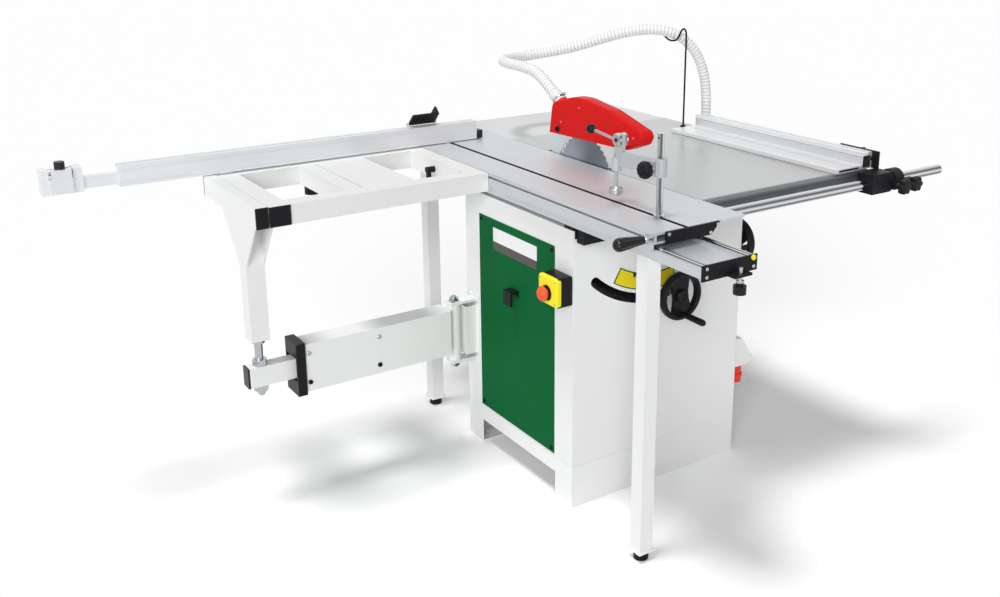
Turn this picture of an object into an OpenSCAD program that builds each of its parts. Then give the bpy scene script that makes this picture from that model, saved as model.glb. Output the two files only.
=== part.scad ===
/* [Cabinet] */
// cabinet width across the feed
cab_w = 590; // [560:5:640]
// cabinet depth along the feed
cab_d = 546; // [530:2:600]
// cabinet height under the guide beam
cab_h = 790; // [770:2:800]
// sheet steel thickness
sheet_t = 2; // [1.5:0.5:4]
// height of the seam above the base
base_h = 122; // [100:2:150]
// width of each foot of the base
foot_w = 80; // [60:5:120]
// height of the opening between the feet
foot_gap = 75; // [40:5:90]
// radius of the floor anchor holes
anchor_r = 6; // [4:0.5:8]

/* [Tables] */
// height of the table surface above the cabinet
table_rise = 80; // [70:1:90]
// length of the fixed table along the feed
table_d = 884; // [840:2:960]
// width of the fixed table right of the blade
table_w = 626; // [600:2:700]
// thickness of the table plate
table_plate = 11; // [8:0.5:12]
// depth of the table rim
table_rim = 40; // [34:1:46]
// length of the rear table
rear_d = 350; // [250:5:450]

/* [Sliding table] */
// width of the sliding table
car_w = 292; // [280:1:300]
// length of the sliding table
car_l = 1300; // [1200:10:1400]
// height of the sliding table profile
car_h = 27; // [24:0.5:29]
// thickness of the lip beside the blade
lip_t = 6; // [4:0.5:6]
// length of the guide beam
beam_l = 1500; // [1400:10:1600]
// width of the guide beam
beam_w = 160; // [150:1:170]
// height of the guide beam box
beam_h = 19; // [17:0.5:20]
// radius of the guide rods
rod_r = 7; // [6:0.5:8]
// side of the square beam legs
leg_w = 40; // [36:1:46]

/* [Saw unit] */
// blade diameter
blade_d = 255; // [240:1:260]
// blade thickness
blade_t = 2.8; // [2:0.1:3.2]
// height of the blade above the table
cut_h = 80; // [70:1:84]
// number of blade teeth
teeth = 40; // [24:2:60]
// thickness of the riving knife
knife_t = 2.5; // [2:0.1:2.8]
// width of the blade guard
guard_w = 44; // [38:1:46]
// motor diameter
motor_d = 124; // [110:1:130]
// motor length
motor_l = 160; // [140:1:175]
// radius of the arc followed by the rise shaft
shaft_arc = 310; // [300:1:320]
// radius of the arc followed by the trunnion studs
stud_arc = 170; // [164:1:176]
// handwheel diameter
wheel_d = 138; // [120:1:150]

/* [Outrigger] */
// width of the outrigger frame
frame_w = 633; // [600:1:660]
// depth of the outrigger frame
frame_d = 424; // [400:1:440]
// height of the frame tubes
frame_h = 52; // [44:1:56]
// distance between arm hinge and leg spindle
arm_span = 595; // [580:1:610]
// height of the swing arm box
arm_h = 137; // [120:1:150]
// thickness of the swing arm box
arm_t = 70; // [68:1:76]
// width of the telescopic tube
tube_w = 38; // [34:1:38]
// height of the telescopic tube
tube_h = 56; // [48:1:60]

/* [Fences] */
// length of the crosscut fence
cross_l = 1087; // [1000:1:1150]
// height of the crosscut fence
cross_h = 57; // [50:1:65]
// thickness of the crosscut fence
cross_t = 38; // [34:1:44]
// length of the rip fence
rip_l = 695; // [600:5:720]
// height of the rip fence
rip_h = 47; // [40:1:60]
// radius of the round fence bar
bar_r = 15; // [12:0.5:17]
// length of the round fence bar
bar_l = 870; // [840:5:900]

/* [Dust hose] */
// outside radius of the hose ribs
hose_r = 17; // [15:0.5:18]
// number of hose ribs
hose_ribs = 190; // [120:1:200]

/* [Fits] */
// running clearance of shafts and pins
fit = 0.06; // [0.02:0.01:0.1]
// clearance between parts that pass each other
gap = 0.4; // [0.3:0.1:0.6]

/* [Hidden] */
$fn = 48;

// cabinet half sizes and table height above the floor
cw = cab_w / 2;
cd = cab_d / 2;
table_h = cab_h + table_rise;
switch_z = cab_h - 168;

// blade plane, blade centre and tilt axis at table level
blade_x = -18;
blade_y = 59;
blade_r = blade_d / 2;
arbor_dz = cut_h - blade_r;

// fixed table
tx0 = blade_x - 4;
tx1 = tx0 + table_w;
ty0 = -443;
ty1 = ty0 + table_d;
rim_z = table_h - table_rim;

// sliding table and guide beam
car_x1 = blade_x - 6;
car_x0 = car_x1 - car_w;
car_y0 = -603;
car_y1 = car_y0 + car_l;
car_z0 = table_h - car_h;
box_x1 = car_x1 - 86;
box_x2 = box_x1 - 22;
slot_x = (car_x0 + box_x1) / 2 + 1;
beam_xm = (car_x0 + box_x2) / 2 - 1;
beam_x0 = beam_xm - beam_w / 2;
beam_x1 = beam_xm + beam_w / 2;
beam_y0 = -763;
beam_y1 = beam_y0 + beam_l;
rod_gap = 5;
rod_z = car_z0 - rod_gap - rod_r;
beam_top = rod_z - rod_r;
beam_z0 = beam_top - beam_h;
skirt_t = max(1, min(8, beam_x0 - car_x0 - 3));
lock_x = beam_xm + 19;
lock_y = beam_y0 - 17;
shoe_l = 60;
shoe_y = [car_y0 + 303, min(car_y1 - 247, beam_y1 - 287)];
rod_xl = beam_x0 + 12;
rod_xr = beam_x1 - 12;
leg_x = beam_x0 + leg_w / 2;
leg_y = [beam_y0 + 203, beam_y1 - 222];
leg_z = 28;

// tilt gear: studs, sector and worm, seen from the tilt axis
stud_r = 5;
bracket_y = 209;
bracket_t = 8;
cradle_y = 197.5;
cradle_t = 8;
sector_r = stud_arc + 38;
worm_r = 14;
worm_y = -225;
worm_dz = -(sector_r + 1 + worm_r);
tilt_shaft_r = 8;

// rise gear: two guide rods, a rack and a pinion
guide_dx = 80;
guide_r = 10;
guide_y = [blade_y - 95, blade_y + 95];
pinion_r = 10;
rise_shaft_r = 9;
shaft_a = -9;
shaft_dx = -shaft_arc * sin(shaft_a);
shaft_dz = -shaft_arc * cos(shaft_a);
cradle_dz = shaft_dz - 46;
rack_y = [-64, -50];

// motor and belt
motor_dz = -200;
arbor_r = 12;
pulley_a = 24;
pulley_m = 36;
motor_shaft_r = 9.5;

// outrigger frame and its leg
fx1 = car_x0 - 1;
fx0 = fx1 - frame_w;
fy0 = 106;
fy1 = fy0 + frame_d;
fz1 = table_h - 2;
fz0 = fz1 - frame_h;
rail_w = 55;
arm_y = 232;
hinge_x = -cw - 71;
spin_x = hinge_x - arm_span;
hinge_r = 8;
spindle_r = 11;
arm_z = 378;
arm_x1 = hinge_x - 30;
arm_x0 = spin_x + 114;
hinge_z = [arm_z - 108, arm_z + 76];
lug_t = 8;
leg_z0 = arm_z + 102;
leg_t = 4;

// crosscut fence
cf_x1 = box_x1 - 8;
cf_x0 = cf_x1 - cross_l;
cf_y0 = fy1 - 28;
cf_y1 = cf_y0 + cross_t;
cf_z0 = table_h + 3;
cf_z1 = cf_z0 + cross_h;
cf_ym = (cf_y0 + cf_y1) / 2;
ext_h = 30;
ext_w = 26;
ext_z = cf_z0 + 22;
stop_x0 = cf_x1 - 222;
stop_x1 = cf_x1 - 122;

// rip fence, rail and round bar
bar_y = -488;
bar_z = table_h - 32;
bar_x0 = -6;
rail_t = 12;
lug_r = 9;
knob_z = bar_z - 8;
rip_x1 = tx1 + 2;
grip_x = rip_x1 + 32;
fine_x = rip_x1 + 88;
rip_x0 = rip_x1 - 144;
rip_y0 = bar_y + 33;
rip_y1 = rip_y0 + rip_l;
rip_z0 = table_h + 1;

// hold-down clamp
post_y = car_y0 + 98;
post_r = 8;
post_z = table_h + 205;
arm_cz = table_h + 122;
pad_y = post_y + 168;
pad_z = table_h + 22;
pad_t = 14;
cam_z = arm_cz + 46;

// guard spout and dust hose
spout_a = 60;
spout_p = [blade_x, 175, table_h + 154];
spout_l = 40;
spout_d = [0, sin(spout_a), cos(spout_a)];
port_x = 60;
port_z = 300;
port_r = 50;
branch_y = 380;
branch_x = port_x + 100;
hose_p0 = spout_p + (spout_l + 0.05) * spout_d;
hook_i = 19;
hose_pts = [
  hose_p0,
  hose_p0 + 36 * spout_d,
  hose_p0 + 72 * spout_d,
  [-18, 306, 1095],
  [-19, 345, 1103],
  [-20, 400, 1107],
  [-20, 455, 1107],
  [-9, 509, 1106],
  [21, 555, 1104],
  [66, 587, 1102],
  [119, 599, 1103],
  [172, 589, 1108],
  [220, 562, 1117],
  [266, 528, 1129],
  [310, 493, 1145],
  [354, 457, 1163],
  [399, 419, 1179],
  [446, 380, 1189],
  [496, 341, 1188],
  [545, 311, 1168],
  [586, 296, 1133],
  [617, 290, 1088],
  [639, 288, 1035],
  [650, 287, 975],
  [653, 287, 910],
  [652, 289, 842],
  [645, 294, 772],
  [631, 303, 700],
  [609, 316, 630],
  [578, 332, 562],
  [538, 347, 498],
  [489, 360, 440],
  [431, 371, 390],
  [369, 378, 346],
  [branch_x + 142, branch_y, port_z + 13],
  [branch_x + 72, branch_y, port_z],
  [branch_x + 36, branch_y, port_z],
  [branch_x + 0.05, branch_y, port_z]
];

// one point of a smooth curve through four points
function curve(p, q, r, s, t) =
  0.5 * (2 * q + (r - p) * t + (2 * p - 5 * q + 4 * r - s) * t * t
  + (3 * q - p - 3 * r + s) * t * t * t);
function last(v) = len(v) - 1;
function pick(v, i) = v[max(0, min(last(v), i))];
// point at a share u of the whole route
function route(v, u) =
  let (k = min(last(v) - 1, floor(u * last(v))), t = u * last(v) - k)
  let (p = k == 0 ? 2 * v[0] - v[1] : v[k - 1])
  let (s = k == last(v) - 1 ? 2 * v[last(v)] - v[last(v) - 1] : v[k + 2])
  curve(p, v[k], v[k + 1], s, t);
function unit(a) = a / norm(a);
// ring of points square to the route
function ring(v, u, r, n) =
  let (e = 0.0005)
  let (d = unit(route(v, min(1, u + e)) - route(v, max(0, u - e))))
  let (a = unit(cross(d, [0.4, -0.5, 0.77])), b = cross(d, a))
  [for (i = [0 : n - 1]) route(v, u) + r * (cos(360 * i / n) * a + sin(360 * i / n) * b)];
// two triangles for each side between rings i and i + 1
function skin(n, i, o, flip) = [
  for (k = [0 : n - 1], h = [0, 1])
    let (a = o + i * n + k, b = o + i * n + (k + 1) % n, c = a + n, d = b + n)
    h == 0 ? (flip ? [a, b, d] : [a, d, b]) : (flip ? [a, d, c] : [a, c, d])
];

// box between two corners
module bx(x0, x1, y0, y1, z0, z1) {
  translate([x0, y0, z0]) cube([x1 - x0, y1 - y0, z1 - z0]);
}
// cylinders along each axis
module cx(x0, x1, y, z, r) {
  translate([x0, y, z]) rotate([0, 90, 0]) cylinder(h = x1 - x0, r = r);
}
module cy(x, y0, y1, z, r) {
  translate([x, y1, z]) rotate([90, 0, 0]) cylinder(h = y1 - y0, r = r);
}
module cz(x, y, z0, z1, r) {
  translate([x, y, z0]) cylinder(h = z1 - z0, r = r);
}
module hex(x, y, z0, z1, r) {
  translate([x, y, z0]) cylinder(h = z1 - z0, r = r, $fn = 6);
}
// flat outlines given as x,z and stretched along y, or as y,z and stretched along x
module ply(y0, y1) {
  translate([0, y1, 0]) rotate([90, 0, 0]) linear_extrude(y1 - y0) children();
}
module plx(x0, x1) {
  translate([x0, 0, 0]) rotate([90, 0, 90]) linear_extrude(x1 - x0) children();
}
// outline of a ring sector hung from the tilt axis, angles from straight down towards -x
module sector(r0, r1, a0, a1) {
  intersection() {
    difference() {
      circle(r1, $fn = 96);
      circle(r0, $fn = 96);
    }
    polygon([[0, 0], 2 * r1 * [-sin(a0), -cos(a0)],
      2 * r1 * [-sin((a0 + a1) / 2), -cos((a0 + a1) / 2)], 2 * r1 * [-sin(a1), -cos(a1)]]);
  }
}
// moves what is sized from the tilt axis to its place
module tilt() {
  translate([blade_x, 0, table_h]) children();
}
// square tube along z
module post(x, y, w, d, z0, z1, t) {
  difference() {
    bx(x - w / 2, x + w / 2, y - d / 2, y + d / 2, z0, z1);
    bx(x - w / 2 + t, x + w / 2 - t, y - d / 2 + t, y + d / 2 - t, z0 - 1, z1 + 1);
  }
}
// handwheel with two openings, its hub on the origin, rim in the x,y plane, crank towards +z
module handwheel() {
  r = wheel_d / 2;
  difference() {
    union() {
      translate([0, 0, 4]) cylinder(h = 16, r = r);
      translate([0, 0, 0]) cylinder(h = 26, r = 20);
    }
    translate([0, 0, 12]) cylinder(h = 9, r = r - 11);
    for (s = [-1, 1])
      translate([0, s * 39, -1]) cylinder(h = 30, r = 17);
  }
  difference() {
    translate([0, 0, 12]) cylinder(h = 14, r = 20);
    translate([0, 0, 25]) cylinder(h = 2, r = 7);
  }
  translate([r - 16, 0, 12]) cylinder(h = 10, r = 6);
  translate([r - 16, 0, 22]) cylinder(h = 76, r1 = 8, r2 = 9.5);
  translate([r - 16, 0, 98]) sphere(r = 9.5);
}

// folded cabinet with feet, tilt slot, shaft boss and table posts
module cabinet() {
  t = sheet_t;
  color("whitesmoke")
  difference() {
    union() {
      difference() {
        bx(-cw, cw, -cd, cd, 0, cab_h);
        bx(-cw + t, cw - t, -cd + t, cd - t, base_h, cab_h - t);
        bx(-cw + 26, cw - 26, -cd + 26, cd - 26, base_h, cab_h + 1);
        bx(-cw + t, cw - t, -cd + t, cd - t, 4, base_h - t);
        bx(-cw + t, cw - t, -cd + foot_w, cd - foot_w, -1, base_h - t);
        bx(-cw + foot_w, cw - foot_w, -cd + t, cd - t, -1, base_h - t);
      }
      for (s = [-1, 1], x = [30, cw - 32])
        bx(x, x + 30, s < 0 ? -cd + 2 : cd - 32, s < 0 ? -cd + 32 : cd - 2, cab_h - t, rim_z);
      cx(cw - 56, cw, worm_y, table_h + worm_dz, 17);
    }
    bx(-cw - 1, cw + 1, -cd + foot_w, cd - foot_w, -1, foot_gap);
    difference() {
      bx(-cw - 1, cw + 1, -cd - 1, cd + 1, base_h, base_h + 2);
      bx(-cw + 1, cw - 1, -cd + 1, cd - 1, base_h - 1, base_h + 3);
    }
    ply(-cd - 1, -cd + t + 1)
      translate([blade_x, table_h]) {
        sector(shaft_arc - 14, shaft_arc + 14, shaft_a - 4, 42);
        for (a = [shaft_a - 4, 42])
          translate(shaft_arc * [-sin(a), -cos(a)]) circle(13.5);
      }
    cx(cw - 60, cw + 1, worm_y, table_h + worm_dz, tilt_shaft_r + fit);
    cy(port_x, cd - t - 1, cd + 1, port_z, port_r - 3);
    for (sx = [-1, 1], sy = [-1, 1])
      cz(sx * (cw - 40), sy * (cd - 40), -1, 5, anchor_r);
  }
}

// flat steel cover over the left face
module side_panel() {
  color("darkgreen")
  bx(-cw - 2, -cw, -cd + 84, cd - 80, base_h + 7, cab_h - 61);
}

// blank name plate on the cover
module name_plate() {
  color("white")
  bx(-cw - 3.2, -cw - 2, -107, 115, cab_h - 150, cab_h - 84);
}

// hook for the push stick
module stick_hook() {
  z = cab_h - 282;
  color("black") {
    bx(-cw - 6, -cw - 2, -16, 22, z + 26, z + 44);
    bx(-cw - 30, -cw - 6, -16, 22, z + 38, z + 44);
    bx(-cw - 30, -cw - 24, -16, 22, z + 2, z + 38);
  }
}

// black switch housing with the bore of the button
module switch_base() {
  color("black")
  difference() {
    bx(-cw - 44, -cw, -cd + 3, -cd + 83, switch_z - 34, switch_z + 46);
    cx(-cw - 45, -cw - 16, -cd + 46, switch_z, 11);
  }
}

// yellow switch cover
module switch_cover() {
  color("gold")
  difference() {
    bx(-cw - 52, -cw - 44, -cd + 1, -cd + 85, switch_z - 32, switch_z + 46);
    cx(-cw - 53, -cw - 43, -cd + 46, switch_z, 10 + gap);
  }
}

// red mushroom button
module stop_button() {
  color("red") {
    cx(-cw - 62, -cw - 30, -cd + 46, switch_z, 10);
    translate([-cw - 62, -cd + 46, switch_z]) rotate([0, -90, 0]) cylinder(h = 12, r1 = 20, r2 = 17);
  }
}

// mains inlet housing with its round plug
module mains_inlet() {
  color("white") {
    ply(-cd + 12, -cd + 72)
      polygon([[cw, 262], [cw + 64, 262], [cw + 80, 284], [cw + 34, 352], [cw, 352]]);
    cz(cw + 36, -cd + 42, 206, 262, 23);
    cz(cw + 36, -cd + 42, 222, 232, 26);
  }
}

// cast table with rim, two cross ribs and a notch for the blade
module main_table() {
  color("silver")
  difference() {
    bx(tx0, tx1, ty0, ty1, rim_z, table_h);
    for (y = [[ty0 + 14, -221], [-bracket_y, bracket_y], [221, ty1 - 14]])
      bx(tx0 + 14, tx1 - 14, y[0], y[1], rim_z - 1, table_h - table_plate);
    bx(tx0 - 1, blade_x + 13, blade_y - blade_r - 18, 244, rim_z - 1, table_h + 1);
  }
}

// folded rear table with a rounded back edge
module rear_table() {
  y1 = ty1 + rear_d;
  z1 = table_h - 1;
  color("whitesmoke") {
    plx(tx0, tx1) {
      translate([ty1, z1 - 3]) square([rear_d - 30, 3]);
      translate([ty1, z1 - 28]) square([3, 25]);
      intersection() {
        difference() {
          translate([y1 - 30, z1 - 30]) circle(30);
          translate([y1 - 30, z1 - 30]) circle(27);
        }
        translate([y1 - 30, z1 - 30]) square([31, 31]);
      }
      translate([y1 - 3, z1 - 62]) square([3, 32]);
    }
    for (x = [tx0, tx1 - 3])
      bx(x, x + 3, ty1 + 3, y1 - 30, z1 - 28, z1 - 3);
  }
}

// grooved rail in front of the table with saddles for the round bar
module front_rail() {
  color("silver")
  difference() {
    union() {
      bx(bar_x0, tx1 + 36, ty0 - rail_t, ty0, table_h - 44, table_h - 6);
      for (x = [bar_x0 + 56, (bar_x0 + 56 + tx1 - 14) / 2, tx1 - 14])
        cy(x, bar_y, ty0 - rail_t, bar_z, lug_r);
    }
    bx(bar_x0 - 1, tx1 + 37, ty0 - rail_t - 1, ty0 - rail_t + 4, table_h - 18, table_h - 12);
    cx(bar_x0 - 1, bar_x0 + bar_l, bar_y, bar_z, bar_r);
  }
}

// round bar that guides the rip fence
module fence_bar() {
  color("gainsboro")
  cx(bar_x0, bar_x0 + bar_l, bar_y, bar_z, bar_r);
}

// hollow guide beam with a seat for each rod
module beam() {
  color("lightsteelblue")
  difference() {
    union() {
      bx(beam_x0, beam_x1, beam_y0, beam_y1, beam_z0, beam_top);
      bx(beam_x0, beam_x0 + 24, beam_y0, beam_y1, beam_z0, rod_z - 1);
      bx(beam_x1 - 24, beam_x1, beam_y0, beam_y1, beam_z0, rod_z - 1);
    }
    for (x = [[beam_x0 + 8, beam_xm - 4], [beam_xm + 4, beam_x1 - 8]])
      bx(x[0], x[1], beam_y0 - 1, beam_y1 + 1, beam_z0 + 5, beam_top - 5);
    for (x = [rod_xl, rod_xr])
      cy(x, beam_y0 - 1, beam_y1 + 1, rod_z, rod_r);
  }
}

// two ground steel rods
module guide_rods() {
  color("gainsboro")
  for (x = [rod_xl, rod_xr])
    cy(x, beam_y0, beam_y1, rod_z, rod_r);
}

// end plates, saddle blocks and front gusset of the beam
module beam_plates() {
  color("black") {
    bx(beam_x0 - 2, beam_x1 + 2, beam_y0 - 4, beam_y0, beam_z0 - 5, rod_z + 6);
    bx(beam_x0 - 2, beam_x1 + 2, beam_y1, beam_y1 + 4, beam_z0 - 5, rod_z + 6);
    for (y = [-cd + 2, cd - 42])
      bx(beam_x0 + 10, beam_x1 - 10, y, y + 40, cab_h, beam_z0);
    ply(-cd - 4, -cd)
      polygon([[beam_x0 + 13, beam_z0], [beam_x0 + 109, beam_z0], [beam_x0 + 75, cab_h - 20],
        [beam_x0 + 13, cab_h - 20]]);
    ply(-cd - 34, -cd - 4)
      polygon([[beam_x0 + 17, cab_h + 6], [beam_x0 + 41, cab_h + 6], [beam_x0 + 122, cab_h - 16],
        [beam_x0 + 128, cab_h - 28], [beam_x0 + 17, cab_h - 30]]);
    difference() {
      bx(lock_x - 26, lock_x + 26, lock_y - 11, beam_y0 - 4, beam_z0 - 5, beam_z0 + 1);
      cz(lock_x, lock_y, beam_z0 - 6, beam_z0 + 2, 5 + fit);
    }
  }
}

// two square legs with a foot flange
module beam_legs() {
  color("whitesmoke")
  for (y = leg_y)
    difference() {
      union() {
        post(leg_x, y, leg_w, leg_w, leg_z, beam_z0, 2);
        bx(leg_x - 25, leg_x + 25, y - 25, y + 25, leg_z - 5, leg_z);
      }
      cz(leg_x, y, leg_z - 6, leg_z + 1, 5);
    }
}

// levelling feet
module leg_feet() {
  color("black")
  for (y = leg_y) {
    cz(leg_x, y, 0, 9, 19);
    translate([leg_x, y, 9]) cylinder(h = 5, r1 = 19, r2 = 9);
    cz(leg_x, y, 14, leg_z + 12, 5);
    hex(leg_x, y, 14, leg_z - 5, 9);
  }
}

// spring pin that holds the sliding table, with a round pull knob
module slide_lock() {
  color("dimgray") {
    cz(lock_x, lock_y, beam_z0 - 33, beam_z0 + 16, 5);
    cz(lock_x, lock_y, beam_z0 - 47, beam_z0 - 27, 15);
    cz(lock_x, lock_y, beam_z0 - 27, beam_z0 - 15, 9);
  }
}

// bracket on the cabinet with two lugs and the fixed pin
module arm_hinge() {
  z0 = hinge_z[0];
  z1 = hinge_z[1];
  color("whitesmoke") {
    difference() {
      union() {
        bx(-cw - 4, -cw, arm_y - 32, arm_y + 32, z0 - 8, z1 + 18);
        bx(-cw - 42, -cw - 4, arm_y - 20, arm_y + 20, z0 + 20, z1 - 12);
        for (z = hinge_z)
          bx(hinge_x - 18, -cw - 4, arm_y - 20, arm_y + 20, z, z + lug_t);
      }
      bx(-cw - 40, -cw - 6, arm_y - 18, arm_y + 18, z0 + 19, z1 - 11);
      cz(hinge_x, arm_y, z0 - 2, z1 + 10, hinge_r);
    }
    cz(hinge_x, arm_y, z0 - 16, z1 + 24, hinge_r);
    hex(hinge_x, arm_y, z1 + lug_t, z1 + lug_t + 10, 15);
    hex(hinge_x, arm_y, z0 - 10, z0, 15);
  }
}

// dust outlet with a branch for the hose
module dust_port() {
  color("dimgray")
  difference() {
    union() {
      bx(port_x - 75, port_x + 75, cd, cd + 4, port_z - 75, port_z + 75);
      cy(port_x, cd, cd + 125, port_z, port_r + 2);
      cy(port_x, cd + 125, cd + 190, port_z, port_r);
      cx(port_x, branch_x - 10, branch_y, port_z, hose_r - 1);
      cx(branch_x - 10, branch_x, branch_y, port_z, hose_r + 1);
    }
    cy(port_x, cd - 1, cd + 191, port_z, port_r - 3);
    cx(port_x, branch_x + 1, branch_y, port_z, hose_r - 4);
  }
}

// ribbed hose along its route
module hose() {
  n = 8;
  m = 2 * hose_ribs;
  k = 90;
  outer = [for (i = [0 : m]) each ring(hose_pts, i / m, hose_r - (i % 2 == 0 ? 1.6 : 0), n)];
  inner = [for (i = [0 : k]) each ring(hose_pts, i / k, hose_r - 4, n)];
  o = (m + 1) * n;
  walls = [for (i = [0 : m - 1]) each skin(n, i, 0, false)];
  bore = [for (i = [0 : k - 1]) each skin(n, i, o, true)];
  ends = [for (e = [0, 1], j = [0 : n - 1], h = [0, 1])
    let (a = (e == 0 ? 0 : m * n) + j, b = (e == 0 ? 0 : m * n) + (j + 1) % n)
    let (c = o + (e == 0 ? 0 : k * n) + j, d = o + (e == 0 ? 0 : k * n) + (j + 1) % n)
    e == 0 ? (h == 0 ? [a, b, d] : [a, d, c]) : (h == 0 ? [a, d, b] : [a, c, d])];
  color("white")
  polyhedron(points = concat(outer, inner), faces = concat(walls, bore, ends));
}

// rod on the table whose hook carries the hose
module hose_hook() {
  p = hose_pts[hook_i];
  z = p[2] - hose_r - 8;
  color("black") {
    cz(p[0], p[1] - 34, table_h, z, 4);
    translate([p[0], p[1] - 34, z]) sphere(r = 4);
    cy(p[0], p[1] - 34, p[1] + 30, z, 4);
    translate([p[0], p[1] + 30, z]) sphere(r = 4);
    cz(p[0], p[1] + 30, z, p[2] + 12, 4);
    cz(p[0], p[1] - 34, table_h, table_h + 8, 12);
  }
}

// tilt scale on the front of the cabinet
module tilt_scale() {
  color("gold")
  ply(-cd - 1.5, -cd)
    translate([blade_x, table_h]) sector(shaft_arc - 70, shaft_arc - 24, -14, 31);
}

// two plates under the table, each with an arc slot for the studs
module trunnion_brackets() {
  color("dimgray")
  for (s = [-1, 1])
    tilt() ply(s < 0 ? -bracket_y - bracket_t : bracket_y, s < 0 ? -bracket_y : bracket_y + bracket_t)
      difference() {
        union() {
          sector(stud_arc - 20, stud_arc + 20, -70, 62);
          translate([70, -120]) square([100, 120 - table_rim]);
        }
        sector(stud_arc - stud_r - fit, stud_arc + stud_r + fit, -24, 60);
      }
}

// tilting frame with studs, worm sector, rise guides and rise shaft bearing
module cradle() {
  top = 22 - stud_arc;
  color("gray")
  tilt() {
    difference() {
      union() {
        for (s = [-1, 1])
          ply(s < 0 ? -cradle_y - cradle_t : cradle_y, s < 0 ? -cradle_y : cradle_y + cradle_t)
            polygon([[-42, top], [62, top], [62, -24], [98, -24], [98, top], [120, top],
              [120, cradle_dz], [-8, cradle_dz], [-42, -stud_arc - 40]]);
        bx(-8, 120, -cradle_y, cradle_y, cradle_dz, cradle_dz + 10);
        bx(62, 98, -cradle_y, guide_y[0] + 14, -34, -24);
        bx(62, 98, guide_y[1] - 14, cradle_y, -34, -24);
      }
      cy(shaft_dx, -cradle_y - cradle_t - 1, -cradle_y + 1, shaft_dz, rise_shaft_r + fit);
      bx(shaft_dx + 8, shaft_dx + 26, rack_y[0] - 2, rack_y[1] + 2, cradle_dz - 1, cradle_dz + 11);
    }
    for (y = guide_y)
      cz(guide_dx, y, cradle_dz + 10, -34, guide_r);
    for (a = [-20, 10], s = [-1, 1])
      cy(-stud_arc * sin(a), s < 0 ? -231 : cradle_y, s < 0 ? -cradle_y : 228,
        -stud_arc * cos(a), stud_r);
    ply(-229, -221) sector(stud_arc - 12, sector_r, -50, 14);
  }
}

// handwheel, shaft and pinion that raise the blade
module rise_wheel() {
  color("black")
  tilt() {
    translate([shaft_dx, -cd - 34, shaft_dz]) rotate([90, 0, 0]) rotate([0, 0, -84]) handwheel();
    cy(shaft_dx, -cd - 34, rack_y[0], shaft_dz, rise_shaft_r);
    cy(shaft_dx, rack_y[0], rack_y[1], shaft_dz, pinion_r);
  }
}

// handwheel, shaft and worm that tilt the unit
module tilt_wheel() {
  color("black") {
    translate([cw + 14, worm_y, table_h + worm_dz]) rotate([0, 90, 0]) rotate([0, 0, 35]) handwheel();
    cx(blade_x + 40, cw + 14, worm_y, table_h + worm_dz, tilt_shaft_r);
    cx(blade_x - 40, blade_x + 40, worm_y, table_h + worm_dz, worm_r);
  }
}

// block on the rise guides with arbor bore, rack and motor plate
module arbor_block() {
  color("dimgray")
  tilt()
  difference() {
    union() {
      bx(46, 112, blade_y - 45, blade_y + 45, arbor_dz - 38, arbor_dz + 20);
      bx(56, 104, rack_y[0], blade_y - 45, -95, -40);
      bx(56, 104, blade_y + 45, guide_y[1] + 22, -95, -40);
      bx(shaft_dx + pinion_r + gap, 71, rack_y[0], rack_y[1], shaft_dz - 6, -95);
      bx(46, 58, blade_y - 64, blade_y + 64, motor_dz - 75, arbor_dz - 38);
      bx(46, 56, blade_y + 45, 228, -80, -50);
      bx(knife_t / 2, 46, 200, 228, -80, -50);
    }
    cx(40, 120, blade_y, arbor_dz, arbor_r + fit);
    cx(40, 60, blade_y, motor_dz, motor_shaft_r + 1);
    for (y = guide_y)
      cz(guide_dx, y, -100, -30, guide_r + fit);
  }
}

// motor with fins and terminal box
module motor() {
  r = motor_d / 2;
  color("slategray")
  tilt()
  difference() {
    union() {
      cx(58, 58 + motor_l, blade_y, motor_dz, r - 5);
      for (i = [0 : 6])
        cx(74 + i * 18, 82 + i * 18, blade_y, motor_dz, r);
      bx(96, 160, blade_y - 32, blade_y + 32, motor_dz + r - 12, motor_dz + r + 22);
    }
    cx(50, 100, blade_y, motor_dz, motor_shaft_r + fit);
  }
}

// motor shaft with its pulley
module motor_pulley() {
  color("gray")
  tilt() {
    cx(14, 38, blade_y, motor_dz, pulley_m);
    cx(38, 96, blade_y, motor_dz, motor_shaft_r);
  }
}

// outline of a loop round both pulleys, e thicker than the pulleys; the straight runs lie a hair inside
module loop(e) {
  d = arbor_dz - motor_dz;
  a = asin((pulley_m - pulley_a) / d);
  ra = pulley_a + e - 0.03;
  rm = pulley_m + e - 0.03;
  translate([blade_y, arbor_dz]) circle(pulley_a + e);
  translate([blade_y, motor_dz]) circle(pulley_m + e);
  translate([blade_y, motor_dz])
    polygon([rm * [cos(a), sin(a)], [0, d] + ra * [cos(a), sin(a)],
      [0, d] + ra * [-cos(a), sin(a)], rm * [-cos(a), sin(a)]]);
}

// drive belt
module belt() {
  color("black")
  tilt() plx(17, 35)
    difference() {
      loop(fit + 4);
      loop(fit);
    }
}

// arbor with blade flanges, nut and pulley
module arbor() {
  color("gray")
  tilt() {
    cx(blade_t / 2, 118, blade_y, arbor_dz, arbor_r);
    cx(blade_t / 2, 12, blade_y, arbor_dz, 28);
    cx(-7, -blade_t / 2, blade_y, arbor_dz, 28);
    cx(-blade_t / 2, blade_t / 2, blade_y, arbor_dz, 9);
    translate([-16, blade_y, arbor_dz]) rotate([0, 90, 0]) cylinder(h = 9, r = 12, $fn = 6);
    cx(14, 38, blade_y, arbor_dz, pulley_a);
  }
}

// toothed saw blade
module saw_blade() {
  color("silver")
  tilt() translate([0, blade_y, arbor_dz]) plx(-blade_t / 2, blade_t / 2)
    difference() {
      polygon([for (i = [0 : teeth - 1], k = [0 : 2])
        let (a = 360 * (i + [0, 0.12, 0.62][k]) / teeth)
        blade_r * [1, 0.985, 0.945][k] * [cos(a), sin(a)]]);
      circle(9);
    }
}

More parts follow.
